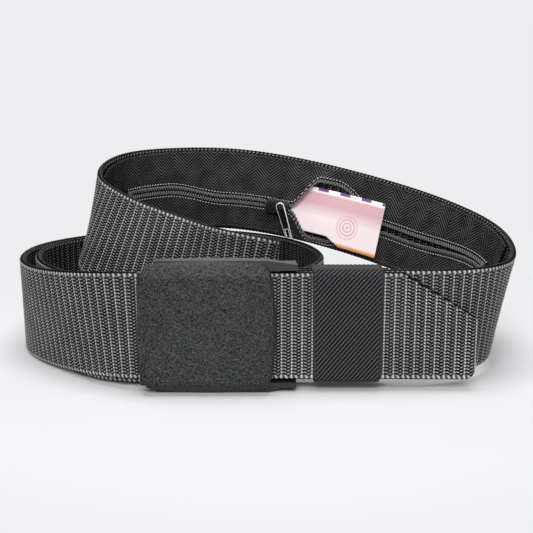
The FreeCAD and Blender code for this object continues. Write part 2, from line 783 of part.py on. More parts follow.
def make_pocket():
    """Lining panels, zip tapes, coil rows and their seams, above and below the zip."""
    reach, width = size["panel_reach"], size["thread_width"]
    seam_over = reach - size["thread_inset"]
    for name, side in (("upper", 1), ("lower", -1)):
        def panel(along, side=side):
            low = min(row_edge(along, side) + size["panel_setback"], seam_over)
            return layer(along, low, reach, ROW_DEPTH, size["panel_thick"], side)

        def tape(along, side=side):
            low = row_edge(along, side) + size["tape_setback"]
            high = min(low + size["tape_width"], reach - size["layer_gap"])
            return layer(along, low, high, TAPE_DEPTH, size["tape_thick"], side)

        def teeth(along, side=side):
            low = row_edge(along, side)
            return layer(along, low, low + size["coil_width"], ROW_DEPTH, size["coil_thick"], side)

        def stitches(along, side=side):
            depth = ROW_DEPTH + size["panel_thick"] + size["fit_gap"]
            return layer(along, seam_over, seam_over + width, depth, size["thread_thick"], side)

        right, left = size["pocket_right"], size["pocket_left"]
        zip_right, zip_left = size["zip_right"], size["zip_left"]
        overrun, spacing = size["tape_overrun"], size["pocket_spacing"]
        add_shape(f"pocket_panel_{name}", swept(right, left, panel, spacing))
        add_shape(f"edge_seam_{name}", swept(right, left, stitches, spacing))
        add_shape(f"zip_tape_{name}", swept(zip_right - overrun, zip_left + overrun, tape, spacing))
        add_shape(f"zip_row_{name}", swept(zip_right, zip_left, teeth, spacing))


def make_zip_stops():
    """Moulded blocks that close the zip at both ends."""
    half = size["coil_width"] + size["row_gap"]
    length, gap = size["stop_length"], size["stop_gap"]
    top = ROW_DEPTH + size["stop_thick"]

    def stop(place):
        low, high = zip_middle(place) - half, zip_middle(place) + half
        return [(low, ROW_DEPTH), (high, ROW_DEPTH), (high, top), (low, top)]

    for name, along in (
        ("right", size["zip_right"] - length - gap), ("left", size["zip_left"] + gap),
    ):
        add_shape(f"zip_stop_{name}", swept(along, along + length, stop, length / 2))


def pocket_placement(along, over, depth):
    """Local frame on the strap's inner face: x along the route, y inward, z across."""
    _, travel, across, outward = strap_frame(along)
    base = strap_point(along, over, depth)
    matrix = FreeCAD.Matrix(
        travel.x, -outward.x, across.x, base.x,
        travel.y, -outward.y, across.y, base.y,
        travel.z, -outward.z, across.z, base.z,
        0, 0, 0, 1,
    )
    return FreeCAD.Placement(matrix)


def slider_placement():
    lift = row_lift(size["slider_at"] - size["slider_length"] / 2)
    return pocket_placement(size["slider_at"], zip_middle(size["slider_at"]), lift)


def make_slider():
    """Zip slider: top plate, side flanges over the rows and the post that carries the pull."""
    length, width, thick = size["slider_length"], size["slider_width"], size["slider_plate"]
    top = ROW_DEPTH + size["coil_thick"] + size["slider_head"]
    plate = Part.makeBox(length, thick, width, FreeCAD.Vector(-length / 2, top, -width / 2))
    corners = [edge for edge in plate.Edges if abs(edge.Length - thick) < 0.01]
    solid = plate.makeFillet(size["slider_corner"], corners)
    foot = ROW_DEPTH + size["slider_side_foot"]
    wall, inset = size["slider_side"], size["slider_side_inset"]
    for low in (-width / 2, width / 2 - wall):
        corner = FreeCAD.Vector(inset - length / 2, foot, low)
        solid = solid.fuse(Part.makeBox(length - 2 * inset, top + thick / 2 - foot, wall, corner))
    radius = size["pull_post_radius"]
    post_height = size["pull_thick"] + size["pull_post_spare"]
    upward = FreeCAD.Vector(0, 1, 0)
    post_foot = FreeCAD.Vector(-size["pull_post_back"], top + thick, 0)
    post = Part.makeCylinder(radius, post_height, post_foot, upward)
    cap = Part.makeCylinder(
        radius + size["pull_post_cap"], size["pull_cap_thick"], post_foot + upward * post_height, upward,
    )
    solid = solid.fuse([post, cap]).removeSplitter()
    add_shape("zip_slider", solid, slider_placement())
    return top + thick + size["pull_lift"]


def make_pull(foot):
    """Long flat pull hanging from the slider's post."""
    length, width, thick = size["pull_length"], size["pull_width"], size["pull_thick"]
    radius = width / 2
    tip_half = radius - size["pull_taper"]
    upward = FreeCAD.Vector(0, 1, 0)

    def at(x, z):
        return FreeCAD.Vector(x, foot, z)

    left, right = at(-radius, 0), at(radius, 0)
    tip_z = -(length - width)
    edges = [
        Part.Arc(left, at(0, radius), right),
        Part.LineSegment(right, at(tip_half, tip_z)),
        Part.Arc(at(tip_half, tip_z), at(0, tip_z - tip_half), at(-tip_half, tip_z)),
        Part.LineSegment(at(-tip_half, tip_z), left),
    ]
    outline = Part.Face(Part.Wire([edge.toShape() for edge in edges]))
    solid = outline.extrude(FreeCAD.Vector(0, thick, 0))
    eye = Part.makeCylinder(
        size["pull_post_radius"] + size["pull_clearance"], 3 * thick, at(0, 0) - upward * thick, upward,
    )
    slot_width = size["pull_slot_width"]
    slot = Part.makeBox(
        slot_width, 3 * thick, size["pull_slot_length"],
        at(-slot_width / 2, tip_z) - upward * thick,
    )
    solid = solid.cut(eye).cut(slot)
    tilt = FreeCAD.Placement(
        FreeCAD.Vector(-size["pull_post_back"], 0, 0), FreeCAD.Rotation(upward, size["pull_tilt"]),
    )
    add_shape("pull_tab", solid, slider_placement().multiply(tilt))


def make_note():
    """Folded paper slip in the open mouth, curved like the strap and rising off it."""
    tall, thick = size["note_height"], size["note_thick"]
    radius = size["note_curve"]
    rise = math.radians(size["note_rise"])
    turn = size["note_length"] / radius
    centre = FreeCAD.Vector(radius * math.sin(rise), radius * math.cos(rise), -tall / 2)

    def at(distance, angle):
        along = FreeCAD.Vector(-math.sin(rise + angle), -math.cos(rise + angle), 0)
        return centre + along * distance

    outer = Part.Arc(at(radius, 0), at(radius, turn / 2), at(radius, turn))
    inner = Part.Arc(at(radius - thick, turn), at(radius - thick, turn / 2), at(radius - thick, 0))
    edges = [
        outer, Part.LineSegment(at(radius, turn), at(radius - thick, turn)),
        inner, Part.LineSegment(at(radius - thick, 0), at(radius, 0)),
    ]
    outline = Part.Face(Part.Wire([edge.toShape() for edge in edges]))
    slip = outline.extrude(FreeCAD.Vector(0, 0, tall))
    foot, trim = -tall / 2, size["note_trim_foot"] - size["note_middle"]
    first, last = -size["note_trim_start"], -size["note_trim_end"]
    below, near = foot - tall, -radius / 2

    def corner(x, z):
        return FreeCAD.Vector(x, near, z)

    trimmed = closed_wire([
        corner(radius, below), corner(radius, trim), corner(first, trim),
        corner(last, foot), corner(last, below),
    ])
    slip = slip.cut(Part.Face(trimmed).extrude(FreeCAD.Vector(0, radius, 0)))
    start = size["slider_at"] - size["slider_length"] / 2 - size["note_slider_gap"]
    add_shape("paper_slip", slip, pocket_placement(start, size["note_middle"], size["note_lift"]))


make_strap_lengths()
make_strap_front()
free_end, merge, low = make_strap_fixed_end()
make_fold_stitches(free_end, merge, low)
make_frame()
make_pin()
make_cover()
make_keeper()
make_pocket()
make_zip_stops()
pull_foot = make_slider()
make_pull(pull_foot)
make_note()
doc.recompute()

for thing in doc.Objects:
    if "Invalid" in thing.State or "Error" in thing.State:
        raise RuntimeError(f"{thing.Name} failed: {thing.State}")
for node in nodes:
    if node.Shape.isNull() or not node.Shape.isValid():
        raise RuntimeError(f"{node.Label} has no valid shape")
    if len(node.Shape.Solids) != 1:
        raise RuntimeError(f"{node.Label} has {len(node.Shape.Solids)} solids")

os.makedirs(NODE_FOLDER, exist_ok=True)
for node in nodes:
    node.Shape.exportStep(os.path.join(NODE_FOLDER, node.Label + ".step"))
    extent = node.Shape.BoundBox
    print(f"{node.Label:22s} volume {node.Shape.Volume:9.1f}  "
          f"x {extent.XMin:7.1f} {extent.XMax:7.1f}  y {extent.YMin:7.1f} {extent.YMax:7.1f}  "
          f"z {extent.ZMin:6.2f} {extent.ZMax:6.2f}")
print(f"route length {KNOTS[-1]:.0f} mm")
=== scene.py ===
import math

import bpy
import numpy as np
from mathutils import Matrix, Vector


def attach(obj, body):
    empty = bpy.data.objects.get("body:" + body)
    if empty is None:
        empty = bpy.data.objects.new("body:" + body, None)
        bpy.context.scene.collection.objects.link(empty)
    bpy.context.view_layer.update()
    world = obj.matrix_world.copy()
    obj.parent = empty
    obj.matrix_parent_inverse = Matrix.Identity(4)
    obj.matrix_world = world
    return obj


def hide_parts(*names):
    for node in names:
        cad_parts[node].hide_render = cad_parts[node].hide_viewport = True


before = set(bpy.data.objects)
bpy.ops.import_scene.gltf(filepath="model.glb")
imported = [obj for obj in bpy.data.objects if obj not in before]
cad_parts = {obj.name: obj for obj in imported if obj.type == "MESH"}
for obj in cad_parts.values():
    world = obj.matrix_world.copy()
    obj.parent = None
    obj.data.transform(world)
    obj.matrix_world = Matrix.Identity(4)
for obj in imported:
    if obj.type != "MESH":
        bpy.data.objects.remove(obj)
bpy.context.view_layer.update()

# A coiled money belt: ribbed webbing, a cam buckle, an elastic keeper, and a part-open zip
# pocket with a folded paper slip. Places are millimetres until mesh_object scales them. The
# camera, the lamps and the materials' bump distances are metres.

MM = 0.001
FULL_TURN = 2 * math.pi
RNG = np.random.default_rng(11)

# ------------------------------------------------------------------ sizes, in millimetres
STRAP_HALF = 19.0
STRAP_THICK = 2.4
RIB_PITCH = 3.5
BAR_PITCH = 1.16
RELIEF = 0.62
EDGE_ROUND = 0.75
FRONT_Y = -61.0
FRONT_START, FRONT_STEP = -20.0, 13.4
MID_Z = 23.0
TIP_START, TIP_END, TIP_DROP, TIP_CORNER = 48.2, 73.8, 16.2, 3.5
POCKET_RIGHT, POCKET_LEFT = 72.0, 298.0
ZIP_RIGHT, ZIP_LEFT = 84.0, 271.0
SLIDER_AT, SLIDER_LENGTH = 195.0, 11.0
TAPE_DEPTH, TAPE_THICK, TAPE_WIDTH = 0.15, 0.35, 4.2
TAPE_SETBACK, TAPE_OVERRUN = 0.6, 4.0
ROW_DEPTH, ROW_WIDTH, ROW_THICK, ROW_GAP = 0.65, 1.85, 1.1, 0.25
PANEL_THICK, PANEL_REACH, PANEL_SETBACK = 0.55, 17.8, 2.1
EDGE_SEAM_INSET, ZIP_SEAM_INSET = 0.9, 0.55

# The zip's line. A step is the distance at which it begins and the run over which it rises.
RIGHT_RISE, ZIP_SAG, SLIDER_SAG = 2.0, 2.4, 2.1
SAG_STEP, SLIDER_SAG_STEP, SAG_END_STEP = (85.0, 45.0), (176.0, 14.0), (222.0, 28.0)

# The mouth. Its steps are measured to the right from the slider's right end.
MOUTH_HALF, MOUTH_LIFT, AJAR_HALF = 12.6, 3.2, 0.9
OPEN_STEP, CLOSE_STEP = (0.0, 13.0), (20.0, 27.0)
AJAR_STEP, AJAR_END_STEP = (10.0, 20.0), (60.0, 45.0)
LIFT_STEP, LIFT_END_STEP = (-6.0, 15.0), (13.0, 8.0)

# The strap's middle line: x, y, height of its middle, outward lean in degrees.
ROUTE = np.array([
    (46, -56.6, 23, 0), (58, -56.4, 23, 1), (70, -53.6, 23, 4), (81, -46, 23, 7),
    (90, -29, 24, 12), (91, -7, 29.5, 14), (81, 17, 36, 12), (63, 37, 42, 9),
    (40, 51, 48, 5), (14, 59.5, 53.6, 2), (-16, 61.5, 57.7, -1), (-42, 53, 58.4, -4),
    (-60, 37, 57.5, -8), (-69, 19, 54, -12), (-68.5, 3, 49, -14), (-58, -7, 43.5, -10),
    (-40, -13, 37.5, -5), (-22, -17, 32.5, -1), (-4, -20, 29, 0), (3.5, -17.5, 26.8, 0),
    (5.6, -11, 25.5, 0), (1, -1, 24, 0), (-12, 18, 21.5, 0), (-30, 36, 19.5, 0),
    (-50, 47, 19.1, 0), (-69, 46, 19.1, 0), (-83, 35, 19.1, 0), (-91, 18, 19.1, 0),
    (-90.5, -1, 19.1, 0), (-83, -21, 19.1, 2), (-71, -38, 19.1, 3), (-58, -49.5, 19.1, 2),
    (-43, -53.5, 19.2, 0), (-18, -52, 19.5, 0), (-1, -49, 19.5, 0), (12, -40, 19.5, 0),
    (20, -25, 19.2, 0), (23.5, -11, 19.1, 0), (23, 5, 19.1, 0), (19, 21, 19.1, 0),
    (11, 37, 19.1, 0), (-4, 53, 19.1, 0), (-23, 63, 19.1, 0), (-44, 65, 19.1, 0),
    (-64, 58, 19.1, 0), (-82, 43, 19.1, 0), (-94, 23, 19.1, 0), (-96.5, 3, 19.1, 0),
    (-92.5, -15, 19.1, 2), (-83, -31, 19.5, 5), (-70, -44.5, 20.5, 5), (-57, -55, 22, 3),
    (-47, -59.7, 22.8, 1), (-39, -61, 23, 0), (-30, -61, 23, 0),
], dtype=float)


# ------------------------------------------------------------------ camera and lamps
CAMERA_PLACE, CAMERA_PITCH, CAMERA_LENS = (0.002, -0.351, 0.099), 10.8, 59.1


def make_camera():
    data = bpy.data.cameras.new("camera")
    data.lens = CAMERA_LENS
    data.sensor_width = 36.0
    data.clip_start = 0.01
    camera = bpy.data.objects.new("camera", data)
    camera.location = CAMERA_PLACE
    camera.rotation_euler = (math.radians(90 - CAMERA_PITCH), 0, 0)
    bpy.context.collection.objects.link(camera)
    bpy.context.scene.camera = camera


def area_light(name, place, target, width, height, power):
    """White lamp that faces its target, with its power in watts."""
    data = bpy.data.lights.new(name, "AREA")
    data.shape = "RECTANGLE"
    data.size, data.size_y = width, height
    data.energy = power
    lamp = bpy.data.objects.new(name, data)
    lamp.location = place
    lamp.rotation_euler = (Vector(target) - Vector(place)).to_track_quat("-Z", "Y").to_euler()
    bpy.context.collection.objects.link(lamp)


make_camera()


# ------------------------------------------------------------------ mesh helpers
def mesh_object(name, points, faces, material, uv=None, relief=None, smooth=True):
    """Mesh from points in millimetres and quads; uv is one pair per point."""
    points = np.asarray(points, dtype=np.float64).reshape(-1, 3) * MM
    faces = np.asarray(faces, dtype=np.int32)
    mesh = bpy.data.meshes.new(name)
    mesh.vertices.add(len(points))
    mesh.vertices.foreach_set("co", points.ravel())
    mesh.loops.add(faces.size)
    mesh.loops.foreach_set("vertex_index", faces.ravel())
    mesh.polygons.add(len(faces))
    first_loops = np.arange(len(faces), dtype=np.int32) * faces.shape[1]
    mesh.polygons.foreach_set("loop_start", first_loops)
    mesh.polygons.foreach_set("use_smooth", np.full(len(faces), smooth))
    if uv is not None:
        layer = mesh.uv_layers.new(name="UVMap")
        corner_uv = np.asarray(uv, dtype=np.float64).reshape(-1, 2)[faces.ravel()]
        layer.data.foreach_set("uv", corner_uv.ravel())
    if relief is not None:
        values = mesh.attributes.new("relief", "FLOAT", "POINT")
        values.data.foreach_set("value", np.asarray(relief, dtype=np.float32).ravel())
    mesh.update(calc_edges=True)
    mesh.validate()
    mesh.materials.append(material)
    thing = bpy.data.objects.new(name, mesh)
    bpy.context.collection.objects.link(thing)
    return thing


def tube_faces(count, around, closed_ends=True):
    """Quads of a grid of count rings with around points each, joined round each ring."""
    i = np.arange(count - 1)[:, None] * around
    j = np.arange(around)[None, :]
    k = (j + 1) % around
    quads = np.stack([i + j, i + k, i + around + k, i + around + j], axis=-1).reshape(-1, 4)
    if closed_ends:
        half = around // 2
        a = np.arange(half - 1)
        b = around - 1 - a
        start = np.stack([a, b, b - 1, a + 1], axis=-1)
        end = (count - 1) * around + start[:, ::-1]
        quads = np.concatenate([quads, start, end])
    return quads


def grid_faces(rows, columns, first=0):
    """Quads of an open grid whose points begin at number first."""
    i = np.arange(rows - 1)[:, None] * columns
    j = np.arange(columns - 1)[None, :]
    corners = (i + j, i + columns + j, i + columns + j + 1, i + j + 1)
    return (np.stack(corners, axis=-1) + first).reshape(-1, 4)


def tubes(paths, normals, radii, sides=6):
    """Points and quads of many short tubes: paths is tubes x rings x 3, radii tubes x rings."""
    count, rings = paths.shape[:2]
    travel = np.gradient(paths, axis=1)
    travel /= np.linalg.norm(travel, axis=2, keepdims=True)
    side = np.cross(travel, normals)
    side /= np.linalg.norm(side, axis=2, keepdims=True)
    up = np.cross(side, travel)
    angle = np.arange(sides) * FULL_TURN / sides
    ring = side[:, :, None] * np.cos(angle)[:, None] + up[:, :, None] * np.sin(angle)[:, None]
    points = paths[:, :, None] + ring * radii[:, :, None, None]
    faces = tube_faces(rings, sides)
    all_faces = (faces[None] + (np.arange(count) * rings * sides)[:, None, None]).reshape(-1, 4)
    return points.reshape(-1, 3), all_faces


# ------------------------------------------------------------------ the strap's route
def spline_moments(knots, values):
    """Second derivatives of the natural cubic spline, one column per value."""
    count = len(knots)
    system = np.eye(count)
    right = np.zeros((count, values.shape[1]))
    for i in range(1, count - 1):
        before, after = knots[i] - knots[i - 1], knots[i + 1] - knots[i]
        system[i, i - 1:i + 2] = before, 2 * (before + after), after
        rise_after = (values[i + 1] - values[i]) / after
        rise_before = (values[i] - values[i - 1]) / before
        right[i] = 6 * (rise_after - rise_before)
    return np.linalg.solve(system, right)


def spline_at(knots, values, moments, along):
    """Values and rates of the spline at many distances."""
    k = np.clip(np.searchsorted(knots, along, side="right") - 1, 0, len(knots) - 2)
    step = (knots[k + 1] - knots[k])[:, None]
    a = (knots[k + 1] - along)[:, None] / step
    b = 1 - a
    bend = ((a**3 - a) * moments[k] + (b**3 - b) * moments[k + 1]) * step**2 / 6
    turn = ((3 * b**2 - 1) * moments[k + 1] - (3 * a**2 - 1) * moments[k]) * step / 6
    return a * values[k] + b * values[k + 1] + bend, (values[k + 1] - values[k]) / step + turn


def chord_knots(points):
    """Distances of the points along the straight lines that join them."""
    chords = np.linalg.norm(np.diff(points[:, :3], axis=0), axis=1)
    return np.concatenate([[0], np.cumsum(chords)])


KNOTS = chord_knots(ROUTE)
MOMENTS = spline_moments(KNOTS, ROUTE)


def frames(travel, lean):
    """Across and outward directions of the strap from its travel and lean."""
    travel = travel / np.linalg.norm(travel, axis=1, keepdims=True)
    level_out = np.stack([travel[:, 1], -travel[:, 0], np.zeros(len(travel))], axis=1)
    level_out /= np.linalg.norm(level_out, axis=1, keepdims=True)
    level_up = np.cross(level_out, travel)
    tilt = np.radians(lean)[:, None]
    across = level_up * np.cos(tilt) + level_out * np.sin(tilt)
    outward = level_out * np.cos(tilt) - level_up * np.sin(tilt)
    return travel, across, outward


def route_frames(along):
    values, rates = spline_at(KNOTS, ROUTE, MOMENTS, along)
    travel, across, outward = frames(rates[:, :3], values[:, 3])
    return values[:, :3], travel, across, outward


def on_strap(along, over, depth):
    """Points at heights over the strap's middle and depths inward from its inner face."""
    along, over, depth = np.broadcast_arrays(along, over, depth)
    point, _, across, outward = route_frames(along.ravel())
    place = point + across * over.reshape(-1, 1) - outward * (STRAP_THICK / 2 + depth.reshape(-1, 1))
    return place.reshape(along.shape + (3,))


def inward_at(along):
    return -route_frames(along)[3]


# ------------------------------------------------------------------ materials
def new_material(name, colour, roughness, metallic=0.0, **sockets):
    material = bpy.data.materials.new(name)
    material.use_nodes = True
    shader = material.node_tree.nodes["Principled BSDF"]
    shader.inputs["Base Color"].default_value = (*colour, 1)
    shader.inputs["Roughness"].default_value = roughness
    shader.inputs["Metallic"].default_value = metallic
    for socket, value in sockets.items():
        shader.inputs[socket.replace("_", " ")].default_value = value
    return material, material.node_tree, shader


def node(tree, kind, inputs=None, **properties):
    made = tree.nodes.new(kind)
    for key, value in properties.items():
        setattr(made, key, value)
    for key, value in (inputs or {}).items():
        if isinstance(value, bpy.types.NodeSocket):
            tree.links.new(value, made.inputs[key])
        else:
            made.inputs[key].default_value = value
    return made


def maths(tree, operation, a, b=0.0, c=0.0):
    return node(tree, "ShaderNodeMath", {0: a, 1: b, 2: c}, operation=operation).outputs[0]


def mixed(tree, factor, dark, light):
    made = node(tree, "ShaderNodeMix", {0: factor}, data_type="RGBA")
    for index, value in ((6, dark), (7, light)):
        if isinstance(value, bpy.types.NodeSocket):
            tree.links.new(value, made.inputs[index])
        else:
            made.inputs[index].default_value = (*value, 1)
    return made.outputs[2]


def ranged(tree, value, low, high, to_low, to_high):
    inputs = {0: value, 1: low, 2: high, 3: to_low, 4: to_high}
    return node(tree, "ShaderNodeMapRange", inputs).outputs[0]


def spread(tree, noise_value, to_low, to_high):
    """Noise, which keeps mostly to the middle of its range, spread over a new one."""
    return ranged(tree, noise_value, 0.3, 0.7, to_low, to_high)


def noise(tree, scale, detail):
    """Noise of the object's own coordinates, with its scale in cells per metre."""
    place = node(tree, "ShaderNodeTexCoord").outputs["Object"]
    inputs = {"Vector": place, "Scale": scale, "Detail": detail}
    return node(tree, "ShaderNodeTexNoise", inputs).outputs[0]


def waves(tree, distance, pitch):
    """Sine waves between 0 and 1, with the pitch in the distance's own units."""
    wave = maths(tree, "SINE", maths(tree, "MULTIPLY", distance, FULL_TURN / pitch))
    return maths(tree, "MULTIPLY_ADD", wave, 0.5, 0.5)


def bump(tree, shader, height, distance, strength=1.0):
    inputs = {"Height": height, "Distance": distance, "Strength": strength}
    made = node(tree, "ShaderNodeBump", inputs)
    tree.links.new(made.outputs[0], shader.inputs["Normal"])


def uv_axes(tree):
    uv = node(tree, "ShaderNodeTexCoord").outputs["UV"]
    parts = node(tree, "ShaderNodeSeparateXYZ", {0: uv})
    return parts.outputs[0], parts.outputs[1]


def relief_of(tree):
    return node(tree, "ShaderNodeAttribute", attribute_name="relief").outputs["Fac"]


def webbing_material():
    """Nylon webbing: painted shade, near black, between the yarns, and a painted highlight that grows
    paler the higher a yarn stands.
    """
    plain, gap_tone, yarn_tone = (0.1, 0.1, 0.1), (0.0002, 0.0002, 0.0002), (0.60, 0.60, 0.58)
    material, tree, shader = new_material("webbing", plain, 0.6, Specular_IOR_Level=0.08)
    # Painted shade and highlight: the yarn height picks near black in the gaps and pale grey on the
    # high yarns.
    painted_shade_and_highlight = maths(tree, "POWER", ranged(tree, relief_of(tree), 0.24, 0.96, 0.0, 1.0), 1.9)
    toned = maths(tree, "MULTIPLY", painted_shade_and_highlight, spread(tree, noise(tree, 90.0, 2.0), 0.8, 1.1))
    tree.links.new(mixed(tree, toned, gap_tone, yarn_tone), shader.inputs["Base Color"])
    along, across = uv_axes(tree)
    lengthwise = maths(tree, "MULTIPLY", along, 9.0)
    crosswise = maths(tree, "MULTIPLY", across, 21.0)
    fibre = maths(tree, "SINE", maths(tree, "ADD", lengthwise, crosswise))
    grain = noise(tree, 5200.0, 2.0)
    tree.links.new(spread(tree, grain, 0.38, 0.6), shader.inputs["Roughness"])
    height = maths(tree, "ADD", maths(tree, "MULTIPLY", fibre, 0.5), grain)
    bump(tree, shader, height, 0.00004, 0.7)
    return material


def lining_material():
    """Herringbone lining: bands of twill that change direction, black on black."""
    plain, gap_tone, yarn_tone = (0.02, 0.02, 0.022), (0.0004, 0.0004, 0.0005), (0.075, 0.075, 0.076)
    band_width, twill_pitch = 6.5, 1.5
    material, tree, shader = new_material("lining", plain, 0.75, Specular_IOR_Level=0.08)
    along, across = uv_axes(tree)
    zigzag = maths(tree, "ADD", across, maths(tree, "PINGPONG", along, band_width))
    yarn = maths(tree, "POWER", waves(tree, zigzag, twill_pitch), 1.6)
    worn = noise(tree, 160.0, 3.0)
    toned = maths(tree, "MULTIPLY", yarn, spread(tree, worn, 0.45, 1.1))
    tree.links.new(mixed(tree, toned, gap_tone, yarn_tone), shader.inputs["Base Color"])
    tree.links.new(spread(tree, worn, 0.62, 0.82), shader.inputs["Roughness"])
    bump(tree, shader, yarn, 0.00012)
    return material


def cloth_material(name, dark, light, pitch, slant):
    """Narrow woven tape or thread: a fine twill along the piece."""
    material, tree, shader = new_material(name, light, 0.7)
    along, across = uv_axes(tree)
    yarn = waves(tree, maths(tree, "MULTIPLY_ADD", across, slant, along), pitch)
    grain = noise(tree, 2600.0, 2.0)
    toned = maths(tree, "MULTIPLY", yarn, grain)
    tree.links.new(mixed(tree, toned, dark, light), shader.inputs["Base Color"])
    tree.links.new(spread(tree, grain, 0.55, 0.8), shader.inputs["Roughness"])
    bump(tree, shader, yarn, 0.00006)
    return material


def keeper_material():
    """Elastic with slanting ribs: painted shade, near black, in the grooves and a painted highlight on
    the ribs.
    """
    plain, groove_painted_shade, rib_painted_highlight = (0.02, 0.02, 0.021), (0.0004, 0.0004, 0.0006), (0.105, 0.107, 0.112)
    material, tree, shader = new_material("keeper_elastic", plain, 0.62, Specular_IOR_Level=0.06)
    grain = noise(tree, 2400.0, 3.0)
    # Painted shade and highlight: the rib height picks near black in the grooves and pale blue-grey on
    # the ribs.
    painted_shade_and_highlight = maths(tree, "MULTIPLY", relief_of(tree), spread(tree, grain, 0.6, 1.1))
    tree.links.new(mixed(tree, painted_shade_and_highlight, groove_painted_shade, rib_painted_highlight), shader.inputs["Base Color"])
    tree.links.new(spread(tree, grain, 0.5, 0.75), shader.inputs["Roughness"])
    bump(tree, shader, grain, 0.00006)
    return material


def plastic_material(name, dark, light, roughness, pebble, depth, gloss):
    """Moulded plastic with a fine pebbled skin."""
    material, tree, shader = new_material(name, dark, roughness, Specular_IOR_Level=gloss)
    skin = noise(tree, pebble, 2.0)
    # Speckle: random tone of the skin; on the cover its pale specks also stand in for glints, a painted
    # highlight.
    speckle = ranged(tree, skin, 0.42, 0.60, 0.0, 1.0)
    tree.links.new(mixed(tree, speckle, dark, light), shader.inputs["Base Color"])
    tree.links.new(spread(tree, skin, roughness - 0.1, roughness + 0.1), shader.inputs["Roughness"])
    bump(tree, shader, skin, depth)
    return material


def metal_material(name, colour, roughness, metallic):
    """Smooth metal, enamel or nylon with faint scuffs in its gloss."""
    material, tree, shader = new_material(name, colour, roughness, metallic)
    scuff = noise(tree, 900.0, 4.0)
    tree.links.new(spread(tree, scuff, roughness - 0.08, roughness + 0.12), shader.inputs["Roughness"])
    bump(tree, shader, scuff, 0.00001)
    return material


def paper_material():
    """Printed slip: rose fading to off-white, plain ruled ornament, and no lettering.

    Along runs from 0 to 1 over the slip's length, and across from 0 to 1 up its height.
    """
    white, rose, bloom = (0.97, 0.84, 0.86), (0.60, 0.35, 0.38), (0.80, 0.33, 0.42)
    head_tone, dash_tone, foot_tone = (0.93, 0.86, 0.88), (0.16, 0.06, 0.24), (0.72, 0.30, 0.10)
    length_over_height, rosette_centre = 1.85, (1.17, 0.40, 0.0)
    material, tree, shader = new_material("paper", (0.9, 0.8, 0.78), 0.6)
    along, across = uv_axes(tree)
    fibre = noise(tree, 700.0, 4.0)
    sway = maths(tree, "MULTIPLY", maths(tree, "SINE", maths(tree, "MULTIPLY", across, 34.0)), 4.0)
    ruling = maths(tree, "SINE", maths(tree, "ADD", maths(tree, "MULTIPLY", along, 210.0), sway))
    band = maths(tree, "MULTIPLY_ADD", ruling, 0.10, ranged(tree, across, 0.46, 0.72, 0.0, 0.9))
    ground = mixed(tree, maths(tree, "MULTIPLY_ADD", fibre, 0.10, band), white, rose)
    level = maths(tree, "MULTIPLY", along, length_over_height)
    aside = node(tree, "ShaderNodeCombineXYZ", {0: level, 1: across}).outputs[0]
    ends = {0: aside, 1: rosette_centre}
    reach = node(tree, "ShaderNodeVectorMath", ends, operation="DISTANCE").outputs["Value"]
    ripple = maths(tree, "SINE", maths(tree, "MULTIPLY", reach, 95.0))
    disc = ranged(tree, reach, 0.20, 0.24, 0.75, 0.0)
    rosette = maths(tree, "MULTIPLY", maths(tree, "GREATER_THAN", ripple, 0.2), disc)
    ground = mixed(tree, rosette, ground, bloom)
    ground = mixed(tree, ranged(tree, across, 0.90, 0.93, 0.0, 0.85), ground, head_tone)
    dashes = maths(tree, "GREATER_THAN", maths(tree, "SINE", maths(tree, "MULTIPLY", along, 26.0)), 0.1)
    dashed = maths(tree, "MULTIPLY", dashes, ranged(tree, across, 0.945, 0.955, 0.0, 1.0))
    printed = mixed(tree, dashed, ground, dash_tone)
    printed = mixed(tree, ranged(tree, across, 0.035, 0.085, 1.0, 0.0), printed, foot_tone)
    tree.links.new(printed, shader.inputs["Base Color"])
    bump(tree, shader, fibre, 0.00003)
    return material


WEBBING = webbing_material()
LINING = lining_material()
KEEPER = keeper_material()
TAPE = cloth_material("zip_tape", (0.004, 0.004, 0.005), (0.03, 0.03, 0.034), 0.7, 1.0)
THREAD = cloth_material("thread", (0.02, 0.02, 0.021), (0.10, 0.10, 0.105), 0.25, 1.5)
ZIP_THREAD = cloth_material("zip_thread", (0.18, 0.18, 0.18), (0.78, 0.78, 0.78), 0.25, 1.5)
COIL = metal_material("zip_coil", (0.11, 0.11, 0.112), 0.26, 0.0)
ENAMEL = metal_material("zip_metal", (0.004, 0.004, 0.0045), 0.25, 0.0)
# Painted highlight: a pale material for the eased edges of the zip slider and pull tab.
EDGE_HIGHLIGHT = metal_material("painted_highlight_edge", (0.72, 0.72, 0.74), 0.30, 0.35)
# The cover's speckle is random tone of its pebbled skin, and its pale specks also stand in for glints:
# partly a painted highlight.
COVER = plastic_material("cover_plastic", (0.0005, 0.0006, 0.0006), (0.040, 0.043, 0.042),
                         roughness=0.42, pebble=1900.0, depth=0.00045, gloss=0.35)
BUCKLE = plastic_material("buckle_plastic", (0.010, 0.011, 0.012), (0.015, 0.016, 0.017),
                          roughness=0.42, pebble=1400.0, depth=0.00001, gloss=0.22)
STEEL = metal_material("pin_steel", (0.5, 0.5, 0.5), 0.3, 1.0)
PAPER = paper_material()


# ------------------------------------------------------------------ webbing
def fold_line():
    """Middle line of the sewn end: free end, back leg, round the bar, then the front leg."""
    bar_x, bar_y, radius = 10.0, -55.4, 2.5
    angle = np.radians(np.linspace(90, 270, 9))
    arc = np.stack([bar_x + radius * np.cos(angle), bar_y + radius * np.sin(angle)], axis=1)
    back = [(44, -54.05), (38, -54.05), (32, -54.05), (26, -54.05), (22, -54.0), (16, -53.45)]
    front = [(16, -57.25), (22, -56.65), (28, -56.6), (34, -56.6), (40, -56.6)]
    flat = np.concatenate([back, arc, front])
    return np.column_stack([flat, np.full(len(flat), MID_Z), np.zeros(len(flat))])


def middle_line():
    """The whole strap: sewn end, coiled route and front run to the tip."""
    places = np.arange(FRONT_START, TIP_END + 0.1, FRONT_STEP)
    front = np.array([(x, FRONT_Y, MID_Z, 0.0) for x in places])
    front[-1, 0] = TIP_END
    return np.concatenate([fold_line(), ROUTE, front])


